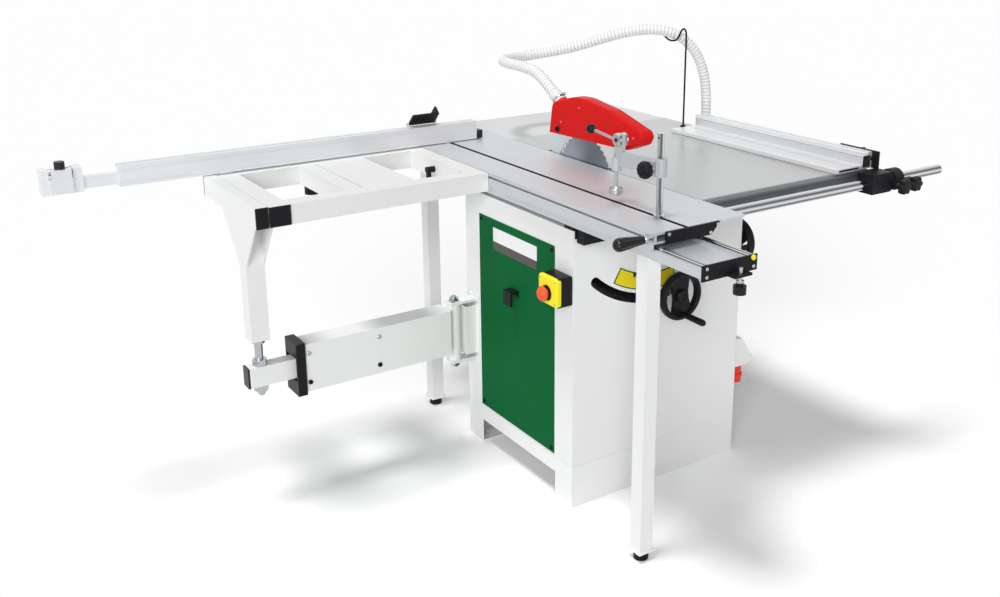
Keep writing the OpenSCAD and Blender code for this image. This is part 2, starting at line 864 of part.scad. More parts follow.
// riving knife behind the blade
module riving_knife() {
  color("slategray")
  tilt() plx(-knife_t / 2, knife_t / 2)
    difference() {
      polygon([[170, -80], [228, -80], [228, -10], [222, 40], [203, 64], [199, 80], [184, 100],
        [150, 104], [136, 84]]);
      translate([blade_y, arbor_dz]) circle(blade_r + 5.5);
    }
}

// hollow guard with its fixing bosses and suction spout
module guard() {
  z = table_h;
  color("red")
  difference() {
    union() {
      plx(blade_x - guard_w / 2, blade_x + guard_w / 2)
        polygon([[198, z + 157], [162, z + 168], [89, z + 187], [40, z + 188], [-83, z + 172],
          [-217, z + 136], [-226, z + 120], [-214, z + 99], [-158, z + 77], [-58, z + 73],
          [88, z + 71], [213, z + 65]]);
      translate(spout_p) rotate([-spout_a, 0, 0]) cylinder(h = spout_l, r = hose_r - 1);
      translate(spout_p + (spout_l - 10) * spout_d) rotate([-spout_a, 0, 0])
        cylinder(h = 10, r = hose_r + 1);
    }
    difference() {
      plx(blade_x - guard_w / 2 + 4, blade_x + guard_w / 2 - 4)
        polygon([[192, z + 152], [160, z + 163], [88, z + 182], [40, z + 183], [-81, z + 167],
          [-212, z + 132], [-220, z + 119], [-210, z + 102], [-157, z + 82], [-157, z + 60],
          [207, z + 60]]);
      cx(blade_x + knife_t / 2, blade_x + guard_w, 166, z + 82, 11);
      cx(blade_x - guard_w, blade_x - knife_t / 2, 166, z + 82, 11);
    }
    translate(spout_p - 14 * spout_d) rotate([-spout_a, 0, 0])
      cylinder(h = spout_l + 15, r = hose_r - 4);
  }
}

// sliding table: a hollow box with T-slot, side groove and skirt, and a thin lip beside the blade
module carriage() {
  z = table_h;
  color("silver")
  ply(car_y0, car_y1)
    difference() {
      polygon([[car_x0, z], [car_x1, z], [car_x1, z - 2], [car_x1 - lip_t + 2, z - lip_t],
        [box_x1, z - lip_t], [box_x2, car_z0], [car_x0 + skirt_t, car_z0],
        [car_x0 + skirt_t, rod_z - 5], [car_x0, rod_z - 5]]);
      translate([car_x0 + 16, car_z0 + 5]) square([slot_x - car_x0 - 50, car_h - 11]);
      translate([slot_x + 24, car_z0 + 5]) square([box_x1 - slot_x - 50, car_h - 11]);
      translate([slot_x - 6, z - 8]) square([12, 9]);
      translate([slot_x - 10, z - 16]) square([20, 9]);
      translate([car_x0 - 1, z - 16]) square([7, 6]);
      translate([car_x0 + 4, z - 19]) square([5, 12]);
    }
}

// four saddles that run on the rods
module guide_shoes() {
  color("black")
  for (x = [rod_xl, rod_xr], y = shoe_y)
    difference() {
      bx(x - 14, x + 14, y, y + shoe_l, rod_z + 0.5, car_z0);
      cy(x, y - 1, y + shoe_l + 1, rod_z, rod_r + fit);
    }
}

// end plates of the sliding table
module carriage_plates() {
  z = table_h;
  color("black")
  for (y = [car_y0 - 5, car_y1])
    ply(y, y + 5)
      polygon([[car_x0 + 41, z - 1], [box_x1, z - 1], [box_x1 - 26, rod_z + rod_r + 2],
        [car_x0 + 41, rod_z + rod_r + 2]]);
}

// tapered push handle with its collar
module push_handle() {
  y = car_y0 + 14;
  z = car_z0 + 12;
  color("black") {
    cx(car_x0 - 12, car_x0, y, z, 11);
    translate([car_x0 - 12, y, z]) rotate([0, -90, 0]) cylinder(h = 68, r1 = 10, r2 = 16.5);
    translate([car_x0 - 80, y, z]) sphere(r = 16.5);
  }
}

// clamp post with its T-nut in the slot
module clamp_post() {
  color("gainsboro")
  difference() {
    union() {
      cz(slot_x, post_y, table_h, post_z, post_r);
      bx(slot_x - 5.8, slot_x + 5.8, post_y - 12, post_y + 12, table_h - 9, table_h);
      bx(slot_x - 9.5, slot_x + 9.5, post_y - 12, post_y + 12, table_h - 15.5, table_h - 9);
      cz(slot_x, post_y, table_h, table_h + 6, 13);
    }
    cx(slot_x - 20, slot_x + 20, post_y, post_z - 11, 3);
  }
}

// clamp arm with sleeve, clevis and spindle boss
module clamp_arm() {
  color("dimgray")
  difference() {
    union() {
      cz(slot_x, post_y, arm_cz - 22, arm_cz + 22, 16);
      bx(slot_x - 24, slot_x, post_y - 12, post_y + 12, arm_cz - 18, arm_cz + 18);
      plx(slot_x - 5, slot_x + 5)
        polygon([[post_y + 8, arm_cz - 18], [post_y + 8, arm_cz + 18], [pad_y - 28, arm_cz + 12],
          [pad_y - 28, cam_z + 8], [pad_y - 2, cam_z + 8], [pad_y + 8, arm_cz - 8],
          [pad_y + 8, arm_cz - 26], [pad_y - 40, arm_cz - 26]]);
      cz(slot_x, pad_y, arm_cz - 40, arm_cz - 8, 13);
    }
    cz(slot_x, post_y, arm_cz - 30, arm_cz + 30, post_r + fit);
    cx(slot_x - 40, slot_x - 10, post_y, arm_cz, 5 + fit);
    cz(slot_x, pad_y, arm_cz - 60, arm_cz + 4, 5 + fit);
    cx(slot_x - 10, slot_x + 10, pad_y - 14, cam_z - 6, 5 + fit);
  }
}

// round clamp knob on its stud
module clamp_knob() {
  color("black") {
    cx(slot_x - 34, slot_x - 12, post_y, arm_cz, 5);
    cx(slot_x - 60, slot_x - 34, post_y, arm_cz, 19);
    cx(slot_x - 34, slot_x - 27, post_y, arm_cz, 9);
  }
}

// cam lever: two cheeks round the arm, a rod and a ball
module cam_lever() {
  y = pad_y - 14;
  z = cam_z - 6;
  color("gainsboro") {
    cx(slot_x - 14, slot_x + 14, y, z, 5);
    for (s = [[-14, -6], [6, 14]])
      cx(slot_x + s[0], slot_x + s[1], y, z, 16);
    translate([slot_x - 10, y + 12, z]) rotate([-84, 0, 0]) cylinder(h = 96, r = 3.5);
    translate([slot_x - 10, y + 108, z + 10]) sphere(r = 13);
  }
}

// clamp spindle with its round pad
module clamp_pad() {
  color("silver") {
    cz(slot_x, pad_y, pad_z + pad_t, arm_cz - 2, 5);
    cz(slot_x, pad_y, pad_z, pad_z + pad_t, 18);
  }
}

// outrigger frame of square tubes with a centre panel
module outrigger() {
  x2 = fx0 + rail_w;
  color("whitesmoke")
  difference() {
    union() {
      bx(fx0, x2, fy0, fy1, fz0, fz1);
      bx(x2, fx1, fy0, fy0 + 50, fz0, fz1);
      bx(x2, fx1, fy1 - 52, fy1, fz0, fz1);
      bx(fx1 - 403, fx1 - 357, fy0 + 50, fy1 - 52, fz0, fz1);
      bx(fx1 - 354, fx1 - 205, fy0 + 50, fy1 - 52, fz1 - 8, fz1);
      bx(fx1 - 49, fx1, fy0 + 50, fy1 - 52, fz0, fz1);
    }
    bx(fx0 + 3, x2 - 3, fy0 - 1, fy1 + 1, fz0 + 3, fz1 - 3);
    bx(x2 + 3, fx1 - 3, fy0 + 3, fy0 + 47, fz0 + 3, fz1 - 3);
    bx(x2 + 3, fx1 - 3, fy1 - 49, fy1 - 3, fz0 + 3, fz1 - 3);
  }
}

// end caps of the tubes and the round knob under the frame
module outrigger_caps() {
  x2 = fx0 + rail_w;
  color("black") {
    bx(fx0, x2, fy0 - 4, fy0, fz0, fz1);
    bx(fx0, x2, fy1, fy1 + 4, fz0, fz1);
    bx(fx0 - 36, fx0 - 3, fy0 - 4, fy0, fz0, fz1 + 2);
    bx(fx0 - 36, fx0 - 3, fy1 - 24, fy1 - 20, fz0, fz1 + 2);
    cz(fx1 - 380, fy1 - 76, fz0 - 26, fz0, 20);
  }
}

// outrigger leg: side profile, gussets, square post, threaded spindle and nuts
module outrigger_leg() {
  x1 = fx0 - 3;
  color("whitesmoke") {
    difference() {
      bx(x1 - 33, x1, fy0, fy1 - 24, fz0, fz1 + 2);
      bx(x1 - 30, x1 - 3, fy0 - 1, fy1 - 23, fz0 + 3, fz1 - 1);
    }
    bx(x1, fx0, fy0 + 40, fy1 - 60, fz0 + 14, fz1 - 8);
    bx(min(x1 - 33, spin_x - 25), max(x1, spin_x + 25), fy0 + 14, arm_y + 130, fz0 - leg_t, fz0);
    for (x = [spin_x - 25, spin_x + 21])
      plx(x, x + 4)
        polygon([[fy0 + 14, fz0 - leg_t], [arm_y - 25, fz0 - 126], [arm_y + 25, fz0 - 126],
          [arm_y + 130, fz0 - leg_t]]);
    post(spin_x, arm_y, 50, 50, leg_z0, fz0 - leg_t, 3);
    cz(spin_x, arm_y, leg_z0 - 10, leg_z0 + 6, 18);
    bx(spin_x - 24, spin_x + 24, arm_y - 24, arm_y + 24, leg_z0 + 4, leg_z0 + 12);
    cz(spin_x, arm_y, arm_z - 52, leg_z0 + 4, spindle_r);
    hex(spin_x, arm_y, arm_z + tube_h / 2 + gap, arm_z + tube_h / 2 + 17, 20);
    hex(spin_x, arm_y, arm_z - tube_h / 2 - 17, arm_z - tube_h / 2 - gap, 20);
    translate([spin_x, arm_y, arm_z - 59]) cylinder(h = 7, r1 = 7, r2 = spindle_r);
  }
}

// clamp lever on the inner tube of the outrigger
module outrigger_lever() {
  x = fx1 - 49;
  y = fy0 + 224;
  color("black") {
    cx(x - 26, x - gap, y, fz0 + 26, 9);
    bx(x - 24, x - 13, y - 6, y + 6, fz0 - 54, fz0 + 26);
    cx(x - 26, x - 10, y, fz0 - 54, 11);
  }
}

// swing arm box with its hinge sleeve
module arm_box() {
  y0 = arm_y - arm_t / 2;
  y1 = arm_y + arm_t / 2;
  z0 = arm_z - arm_h / 2;
  z1 = arm_z + arm_h / 2;
  color("whitesmoke")
  difference() {
    union() {
      bx(arm_x0, arm_x1, y0, y1, z0, z1);
      bx(arm_x1, hinge_x - 6, arm_y - 14, arm_y + 14, z0 + 6, z1 - 6);
      cz(hinge_x, arm_y, hinge_z[0] + lug_t + gap, hinge_z[1] - gap, 20);
    }
    bx(arm_x0 - 1, arm_x1 - 2, y0 + 2, y1 - 2, z0 + 2, z1 - 2);
    cz(hinge_x, arm_y, hinge_z[0], hinge_z[1] + 6, hinge_r + fit);
  }
}

// black end collar of the arm with two rollers
module arm_collar() {
  y0 = arm_y - arm_t / 2;
  y1 = arm_y + arm_t / 2;
  zt = arm_z + tube_h / 2;
  zb = arm_z - tube_h / 2;
  color("black") {
    difference() {
      bx(arm_x0 - 26, arm_x0, y0 - 5, y1 + 5, arm_z - arm_h / 2 - 7, arm_z + arm_h / 2 + 7);
      bx(arm_x0 - 27, arm_x0 + 1, y0 + 1, y1 - 1, zb - 6, zt + 6);
    }
    for (x = [arm_x0 + 20, arm_x0 + 232]) {
      cy(x, y0 + 2, y1 - 2, zt + gap + 15, 15);
      cy(x, y0 + 2, y1 - 2, zb - gap - 15, 15);
    }
  }
}

// telescopic tube that turns on the leg spindle
module arm_tube() {
  zt = arm_z + tube_h / 2;
  zb = arm_z - tube_h / 2;
  color("whitesmoke")
  difference() {
    bx(spin_x - 40, spin_x + 400, arm_y - tube_w / 2, arm_y + tube_w / 2, zb, zt);
    bx(spin_x - 35, spin_x + 401, arm_y - tube_w / 2 + 3, arm_y + tube_w / 2 - 3, zb + 3, zt - 3);
    cz(spin_x, arm_y, zb - 1, zt + 1, spindle_r + fit);
  }
}

// crosscut fence with grooves, bore of the extension, pivot pin and stop ears
module crosscut_fence() {
  color("silver") {
    difference() {
      bx(cf_x0, cf_x1, cf_y0, cf_y1, cf_z0, cf_z1);
      bx(cf_x0 - 1, cf_x0 + 520, cf_ym - ext_w / 2 - gap, cf_ym + ext_w / 2 + gap,
        ext_z - ext_h / 2 - gap, ext_z + ext_h / 2 + gap);
      for (z = [cf_z0 + 8, cf_z0 + 42])
        bx(cf_x0 - 1, cf_x1 + 1, cf_y0 - 1, cf_y0 + 2, z, z + 4);
      bx(cf_x0 - 1, cf_x1 + 1, cf_ym - 4, cf_ym + 4, cf_z1 - 6, cf_z1 + 1);
    }
    bx(cf_x1, cf_x1 + 24, cf_ym - 14, cf_ym + 14, cf_z0, cf_z0 + 24);
    cz(slot_x, cf_ym, table_h - 6, cf_z0, 6 - fit);
    cz(slot_x, cf_ym, table_h + gap, cf_z0, 17);
    bx(fx0 + 10, fx0 + 45, cf_ym - 12, cf_ym + 6, fz1 + gap, cf_z0);
    for (x = [stop_x0, stop_x1 - 4])
      difference() {
        bx(x, x + 4, cf_y1, cf_y1 + 10, cf_z1 - 26, cf_z1 + 10);
        cx(x - 1, x + 5, cf_y1 + 5, cf_z1 + 5, 3 + fit);
      }
  }
}

// telescopic fence bar with the stop block
module fence_extension() {
  color("silver") {
    difference() {
      bx(cf_x0 - 90, cf_x0 + 440, cf_ym - ext_w / 2, cf_ym + ext_w / 2, ext_z - ext_h / 2,
        ext_z + ext_h / 2);
      bx(cf_x0 - 91, cf_x0 + 441, cf_ym - ext_w / 2 + 3, cf_ym + ext_w / 2 - 3, ext_z - ext_h / 2 + 3,
        ext_z + ext_h / 2 - 3);
    }
    difference() {
      bx(cf_x0 - 190, cf_x0 - 90, cf_ym - 22, cf_ym + 26, cf_z0 + 2, cf_z0 + 66);
      bx(cf_x0 - 172, cf_x0 - 112, cf_ym - 23, cf_ym + 27, cf_z0 + 42, cf_z0 + 67);
      cx(cf_x0 - 191, cf_x0 - 89, cf_ym - 4, cf_z0 + 58, 4 + fit);
    }
  }
}

// flip stop in the stop block with its knob
module flip_stop() {
  color("black") {
    cx(cf_x0 - 190, cf_x0 - 90, cf_ym - 4, cf_z0 + 58, 4);
    cx(cf_x0 - 171, cf_x0 - 113, cf_ym - 4, cf_z0 + 58, 9);
    bx(cf_x0 - 166, cf_x0 - 118, cf_ym - 34, cf_ym - 4, cf_z0 + 56, cf_z0 + 66);
    bx(cf_x0 - 166, cf_x0 - 118, cf_ym - 34, cf_ym - 24, cf_z0 + 6, cf_z0 + 66);
    cz(cf_x0 - 142, cf_ym - 14, cf_z0 + 66, cf_z0 + 86, 13);
  }
}

// flip stop behind the crosscut fence, halfway over it
module mid_stop() {
  color("black")
  translate([0, cf_y1 + 5, cf_z1 + 5]) rotate([45, 0, 0]) {
    cx(stop_x0, stop_x1, 0, 0, 3);
    bx(stop_x0 + 5, stop_x1 - 5, -3, 3, -3, 45);
    bx(stop_x1 - 11, stop_x1 - 5, -3, 25, 7, 45);
  }
}

// casting on the round bar that carries the rip fence
module fence_carrier() {
  x0 = rip_x1 - 66;
  x1 = rip_x1 + 12;
  color("black")
  difference() {
    union() {
      bx(x0, x1, bar_y - 32, bar_y + 22, bar_z - 24, bar_z + 24);
      bx(x0, x1, bar_y - 32, bar_y + 22, bar_z + 24, rip_z0 - gap);
      bx(rip_x1 + gap, rip_x1 + 8, bar_y + 12, bar_y + 150, rip_z0 - gap, rip_z0 + rip_h + 2);
      cx(x1, x1 + 22, bar_y, bar_z, 27);
      cx(x1 + 22, x1 + 58, bar_y, bar_z, 31);
      bx(x1 + 8, x1 + 33, bar_y - 38, bar_y - 20, knob_z - 12, knob_z + 12);
      bx(x1 + 58, x1 + 100, bar_y - 30, bar_y - 10, knob_z - 14, knob_z + 10);
    }
    cx(x0 - 1, x1 + 101, bar_y, bar_z, bar_r + fit);
    bx(x0 - 1, x1 + 101, bar_y, bar_y + 40, bar_z - lug_r - 1, bar_z + lug_r + 1);
    cy(fine_x, bar_y - 31, bar_y - 9, knob_z, 5 + fit);
    cy(grip_x, bar_y - 39, bar_y - 21, knob_z, 5 + fit);
    cx(rip_x1 - 1, rip_x1 + 9, bar_y + 90, rip_z0 + 26, 5 + fit);
  }
}

// rip fence with a tall box and a low flange
module rip_fence() {
  z = rip_z0;
  color("silver")
  ply(rip_y0, rip_y1)
    difference() {
      union() {
        translate([rip_x1 - 40, z]) square([40, rip_h]);
        translate([rip_x0, z]) square([105, 11]);
      }
      translate([rip_x1 - 36, z + 4]) square([30, rip_h - 14]);
      translate([rip_x1 - 26, z + rip_h - 5]) square([10, 6]);
      translate([rip_x0 + 12, z + 3]) square([80, 5]);
      translate([rip_x1 - 5, z + 20]) square([6, 12]);
    }
}

// knob that clamps the rip fence to its carrier
module fence_knob() {
  y = bar_y + 90;
  z = rip_z0 + 26;
  color("black") {
    cx(rip_x1 - 3, rip_x1 + 14, y, z, 5);
    cx(rip_x1 + 14, rip_x1 + 34, y, z, 20);
  }
}

// lobed grip with its stem towards +y, the end of the stem at the given y
module star_knob(x, y, stem) {
  cy(x, y - stem, y, knob_z, 5);
  translate([x, y - stem, knob_z]) rotate([90, 0, 0]) linear_extrude(22)
    difference() {
      circle(22);
      for (i = [0 : 5])
        rotate(60 * i) translate([24, 0]) circle(6);
    }
}

// star knob of the fine adjuster
module carrier_knob() {
  color("black")
  star_knob(fine_x, bar_y - 17, 27);
}

// star knob that clamps the carrier to the bar
module bar_knob() {
  color("black")
  star_knob(grip_x, bar_y - 22, 28);
}

cabinet();
side_panel();
name_plate();
stick_hook();
switch_base();
switch_cover();
stop_button();
mains_inlet();
main_table();
rear_table();
front_rail();
fence_bar();
beam();
guide_rods();
beam_plates();
beam_legs();
leg_feet();
slide_lock();
arm_hinge();
dust_port();
hose();
hose_hook();
tilt_scale();
trunnion_brackets();
cradle();
rise_wheel();
tilt_wheel();
arbor_block();
motor();
motor_pulley();
belt();
arbor();
saw_blade();
riving_knife();
guard();
carriage();
guide_shoes();
carriage_plates();
push_handle();
clamp_post();
clamp_arm();
clamp_knob();
cam_lever();
clamp_pad();
outrigger();
outrigger_caps();
outrigger_leg();
outrigger_lever();
arm_box();
arm_collar();
arm_tube();
crosscut_fence();
fence_extension();
flip_stop();
mid_stop();
fence_carrier();
rip_fence();
fence_knob();
carrier_knob();
bar_knob();
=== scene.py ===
"""Looks of a sliding table saw: finishes for its CAD nodes, modelled details, hose, studio and camera.

Everything is in metres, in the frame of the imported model: +X to the operator's right, +Y the feed, +Z up.
"""

import logging
import math
from dataclasses import dataclass, replace
from enum import Enum
from itertools import product
from typing import Optional, Sequence

import bmesh
import bpy
import numpy as np
from mathutils import Matrix, Vector


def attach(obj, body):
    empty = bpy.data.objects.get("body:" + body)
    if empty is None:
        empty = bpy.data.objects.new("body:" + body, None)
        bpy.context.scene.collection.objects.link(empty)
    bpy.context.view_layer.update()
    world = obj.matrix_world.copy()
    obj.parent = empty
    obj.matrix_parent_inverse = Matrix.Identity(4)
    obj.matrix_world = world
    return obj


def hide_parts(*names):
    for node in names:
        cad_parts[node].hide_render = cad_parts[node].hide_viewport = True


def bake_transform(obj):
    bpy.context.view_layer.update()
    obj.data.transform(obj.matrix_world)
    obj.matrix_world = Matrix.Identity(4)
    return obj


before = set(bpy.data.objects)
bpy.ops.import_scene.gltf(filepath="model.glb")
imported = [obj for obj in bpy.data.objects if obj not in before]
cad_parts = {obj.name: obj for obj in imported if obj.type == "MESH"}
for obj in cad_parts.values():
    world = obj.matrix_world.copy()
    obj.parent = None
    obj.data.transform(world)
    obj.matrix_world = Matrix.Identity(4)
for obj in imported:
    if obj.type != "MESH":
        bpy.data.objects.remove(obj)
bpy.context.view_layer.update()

LOG = logging.getLogger("sliding_saw")

Color = tuple[float, float, float]
Point = tuple[float, float, float]
Pair = tuple[float, float]
Profile = Sequence[Pair]
Node = bpy.types.Node
Piece = bpy.types.Object
Socket = bpy.types.NodeSocket
Sockets = bpy.types.bpy_prop_collection
Tree = bpy.types.NodeTree


class Axis(Enum):
    """A frame axis, by its place in a point."""

    X = 0
    Y = 1
    Z = 2


# Shader graphs


class Graph:
    """Adds and joins the nodes of one node tree."""

    def __init__(self, tree: Tree) -> None:
        """Starts on a material's or group's tree, which it empties."""
        self.tree = tree
        tree.nodes.clear()

    def node(self, kind: str, values: Optional[dict] = None, **settings: object) -> Node:
        """Adds a node.

        Args:
            kind: Blender's class name of the node.
            values: input sockets by name or place, each a number, a colour or another node's socket.
            settings: attributes of the node itself.

        Returns:
            The new node.
        """
        made = self.tree.nodes.new(kind)
        for key, value in settings.items():
            setattr(made, key, value)
        for key, value in (values or {}).items():
            self.put(value, made.inputs[key])
        return made

    def put(self, value: object, socket: Socket) -> None:
        """Gives an input a value, or joins it to another node's socket.

        Args:
            value: a number, a colour or a socket.
            socket: the input.
        """
        if isinstance(value, Socket):
            self.tree.links.new(value, socket)
        else:
            socket.default_value = value

    def math(self, operation: str, *terms: object) -> Socket:
        """Adds a Math node of the given terms and returns its output."""
        return self.node("ShaderNodeMath", dict(enumerate(terms)), operation=operation).outputs[0]

    def vector(self, operation: str, *terms: object) -> Node:
        """Adds a Vector Math node of the given terms."""
        return self.node("ShaderNodeVectorMath", dict(enumerate(terms)), operation=operation)

    def split(self, vector: Socket) -> Sockets:
        """Returns a vector's three parts."""
        return self.node("ShaderNodeSeparateXYZ", {0: vector}).outputs

    def blend(self, share: object, low: object, high: object) -> Socket:
        """Mixes two numbers by a share and returns the number."""
        return self.node("ShaderNodeMix", {0: share, 2: low, 3: high}).outputs[0]

    def mix(self, share: object, low: object, high: object) -> Socket:
        """Mixes two colours by a share and returns the colour."""
        return self.node("ShaderNodeMix", {0: share, 6: low, 7: high}, data_type="RGBA").outputs[2]

    def seen(self) -> Socket:
        """Returns 1 for camera, glossy and transmission rays, else 0."""
        rays = self.node("ShaderNodeLightPath").outputs
        mirrored = self.math("MAXIMUM", rays["Is Glossy Ray"], rays["Is Transmission Ray"])
        return self.math("MAXIMUM", rays["Is Camera Ray"], mirrored)


class Group(Enum):
    """Shader groups that several finishes share."""

    GRAIN = "surface_grain"
    ZONE = "zone_mask"
    SOIL = "handling_soil"

    def tree(self) -> Tree:
        """Builds the group's node tree on first use.

        Returns:
            The tree.
        """
        found = bpy.data.node_groups.get(self.value)
        if found is None:
            found = bpy.data.node_groups.new(self.value, "ShaderNodeTree")
            {Group.GRAIN: _fill_grain, Group.ZONE: _fill_zone, Group.SOIL: _fill_soil}[self](found)
        return found

    def place(self, g: Graph, **values: object) -> Sockets:
        """Adds the group to a graph with its inputs by name, and returns its outputs."""
        return g.node("ShaderNodeGroup", values, node_tree=self.tree()).outputs


def _sockets(tree: Tree, inputs: dict[str, str], outputs: Sequence[str]) -> None:
    """Gives a group its named sockets.

    Args:
        tree: the group's tree.
        inputs: input name to socket type, Float or Vector.
        outputs: names of the outputs, all numbers.
    """
    for name, kind in inputs.items():
        tree.interface.new_socket(name, in_out="INPUT", socket_type="NodeSocket" + kind)
    for name in outputs:
        tree.interface.new_socket(name, in_out="OUTPUT", socket_type="NodeSocketFloat")


def _fill_grain(tree: Tree) -> None:
    """Grain: noise on stretched coordinates gives a slow tone, and finer noise gives a height.

    Args:
        tree: the group's tree.
    """
    g = Graph(tree)
    _sockets(tree, {"Vector": "Vector", "Stretch": "Vector", "Scale": "Float"}, ("Tone", "Height"))
    src = g.node("NodeGroupInput").outputs
    place = g.vector("MULTIPLY", src["Vector"], src["Stretch"]).outputs[0]
    finer = g.math("MULTIPLY", src["Scale"], 5.0)
    slow = g.node("ShaderNodeTexNoise", {"Vector": place, "Scale": src["Scale"], "Detail": 4.0})
    fine = g.node("ShaderNodeTexNoise", {"Vector": place, "Scale": finer, "Detail": 2.0})
    g.node("NodeGroupOutput", {"Tone": slow.outputs[0], "Height": fine.outputs[0]})


def _fill_zone(tree: Tree) -> None:
    """Zone: 1 where each coordinate lies between Low and High, else 0.

    Args:
        tree: the group's tree.
    """
    g = Graph(tree)
    _sockets(tree, {"Vector": "Vector", "Low": "Vector", "High": "Vector"}, ("Mask",))
    src = g.node("NodeGroupInput").outputs
    mask: object = 1.0
    for high, low in ((src["Vector"], src["Low"]), (src["High"], src["Vector"])):
        for part in g.split(g.vector("SUBTRACT", high, low).outputs[0]):
            mask = g.math("MULTIPLY", mask, g.math("GREATER_THAN", part, 0.0))
    g.node("NodeGroupOutput", {"Mask": mask})


def _fill_soil(tree: Tree) -> None:
    """Soil: broad cloudy noise, cut to the densest patches, as from hands and dust.

    Args:
        tree: the group's tree.
    """
    g = Graph(tree)
    _sockets(tree, {"Vector": "Vector", "Scale": "Float"}, ("Mask",))
    src = g.node("NodeGroupInput").outputs
    cloud = g.node("ShaderNodeTexNoise", {"Vector": src["Vector"], "Scale": src["Scale"], "Detail": 6.0})
    cut = g.node("ShaderNodeMapRange", {0: cloud.outputs[0], 1: 0.52, 2: 0.78})
    g.node("NodeGroupOutput", {"Mask": cut.outputs[0]})


# Finishes


def rgba(color: Color, share: float = 1.0) -> tuple[float, ...]:
    """A colour times a share, at most 1, with full alpha."""
    return tuple(min(1.0, part * share) for part in color) + (1.0,)


FAR = 9.0
ALL: Pair = (-FAR, FAR)
DUST: Color = (0.30, 0.29, 0.27)
BLADE_CENTRE: Point = (-0.018, 0.059, 0.8225)


@dataclass(frozen=True)
class Zone:
    """A box of a node that has a finish of its own, such as a bare end of a painted part, or painted shade
    in a slot or hollow.
    """

    color: Color
    roughness: float
    metallic: float = 0.0
    x: Pair = ALL
    y: Pair = ALL
    z: Pair = ALL

    def mask(self, g: Graph, place: Socket) -> Socket:
        """Returns 1 inside the box, else 0."""
        low, high = zip(self.x, self.y, self.z)
        return Group.ZONE.place(g, Vector=place, Low=low, High=high)["Mask"]


@dataclass(frozen=True)
class Finish:
    """A surface finish on Object coordinates: tone, grain, soil and zones, and the name of a slot."""

    name: str
    color: Color
    roughness: float
    metallic: float = 0.0
    grain: float = 160.0
    stretch: Point = (1.0, 1.0, 1.0)
    tone: float = 0.05
    bump: float = 0.00008
    spread: float = 0.06
    specular: float = 0.3
    soil: float = 0.03
    zones: tuple[Zone, ...] = ()
    slot: str = ""

    def build(self) -> bpy.types.Material:
        """Makes the material on first use.

        Returns:
            The material.
        """
        found = bpy.data.materials.get(f"{self.name}_finish")
        if found is not None:
            return found
        made = bpy.data.materials.new(f"{self.name}_finish")
        made.use_nodes = True
        g = Graph(made.node_tree)
        place = g.node("ShaderNodeTexCoord").outputs["Object"]
        shader = g.node("ShaderNodeBsdfPrincipled", {"Specular IOR Level": self.specular})
        self.wire(g, place, shader)
        g.node("ShaderNodeOutputMaterial", {"Surface": self.surface(g, shader)})
        return made

    def surface(self, g: Graph, shader: Node) -> Socket:
        """Returns what the material shows: the shader itself."""
        return shader.outputs[0]

    def tint(self, g: Graph, place: Socket, tone: Socket) -> Socket:
        """Colour before soil and zones: darker to lighter with the tone.

        Args:
            g: the material's graph.
            place: the Object coordinates.
            tone: the slow grain, 0 to 1.

        Returns:
            The colour.
        """
        return g.mix(tone, rgba(self.color, 1 - self.tone), rgba(self.color, 1 + self.tone))

    def wire(self, g: Graph, place: Socket, shader: Node) -> None:
        """Joins grain, soil and zones to the shader.

        Args:
            g: the material's graph.
            place: the Object coordinates.
            shader: the Principled shader.
        """
        grain = Group.GRAIN.place(g, Vector=place, Stretch=self.stretch, Scale=self.grain)
        span = {0: grain["Tone"], 3: self.roughness - self.spread, 4: self.roughness + self.spread}
        rough = g.node("ShaderNodeMapRange", span).outputs[0]
        metal: object = self.metallic
        soil = Group.SOIL.place(g, Vector=place, Scale=5.0)["Mask"]
        soiled = g.math("MULTIPLY", soil, self.soil)
        color = g.mix(soiled, self.tint(g, place, grain["Tone"]), rgba(DUST))
        for zone in self.zones:
            inside = zone.mask(g, place)
            color = g.mix(inside, color, rgba(zone.color))
            rough = g.blend(inside, rough, zone.roughness)
            metal = g.blend(inside, metal, zone.metallic)
        relief = {"Strength": 0.6, "Distance": self.bump, "Height": grain["Height"]}
        normal = g.node("ShaderNodeBump", relief).outputs[0]
        wired = {"Base Color": color, "Roughness": rough, "Metallic": metal, "Normal": normal}
        for name, value in wired.items():
            g.put(value, shader.inputs[name])


@dataclass(frozen=True)
class HoseFinish(Finish):
    """Clear ribbed plastic: pale crests and greyer valleys from the rib attribute; the greyer valleys are
    painted shade in the creases between ribs.
    """

    # colour of the valleys: painted shade in the creases
    valley: Color = (0.62, 0.63, 0.63)

    def tint(self, g: Graph, place: Socket, tone: Socket) -> Socket:
        """Mixes valley and crest by the rib attribute, a little uneven with the tone; the valley colour is
        painted shade.

        Args:
            g: the material's graph.
            place: the Object coordinates.
            tone: the slow grain, 0 to 1.

        Returns:
            The colour.
        """
        rib = g.node("ShaderNodeAttribute", attribute_name="rib").outputs["Fac"]
        share = g.math("MULTIPLY", rib, g.math("MULTIPLY_ADD", tone, 0.3, 0.85))
        return g.mix(share, rgba(self.valley), rgba(self.color))


@dataclass(frozen=True)
class PaintedReflectionFinish(Finish):
    """Polished metal with painted reflections: bright and dark bands by the way that the surface faces,
    standing in for what a white room reflects.
    """

    bands: float = 7.0
    phase: float = 0.85
    lean: float = 0.6
    low: float = 0.22
    high: float = 1.30

    def tint(self, g: Graph, place: Socket, tone: Socket) -> Socket:
        """Mixes a dark and a bright shade by a sine of the normal's height plus a part of its x: painted
        reflection bands.

        Args:
            g: the material's graph.
            place: the Object coordinates.
            tone: the slow grain, 0 to 1.

        Returns:
            The colour.
        """
        parts = g.split(g.node("ShaderNodeNewGeometry").outputs["Normal"])
        faces = g.math("MULTIPLY_ADD", parts[0], self.lean, parts[2])
        wave = g.math("SINE", g.math("MULTIPLY_ADD", faces, self.bands, self.phase))
        share = g.math("MULTIPLY_ADD", wave, 0.5, 0.5)
        return g.mix(share, rgba(self.color, self.low), rgba(self.color, self.high))


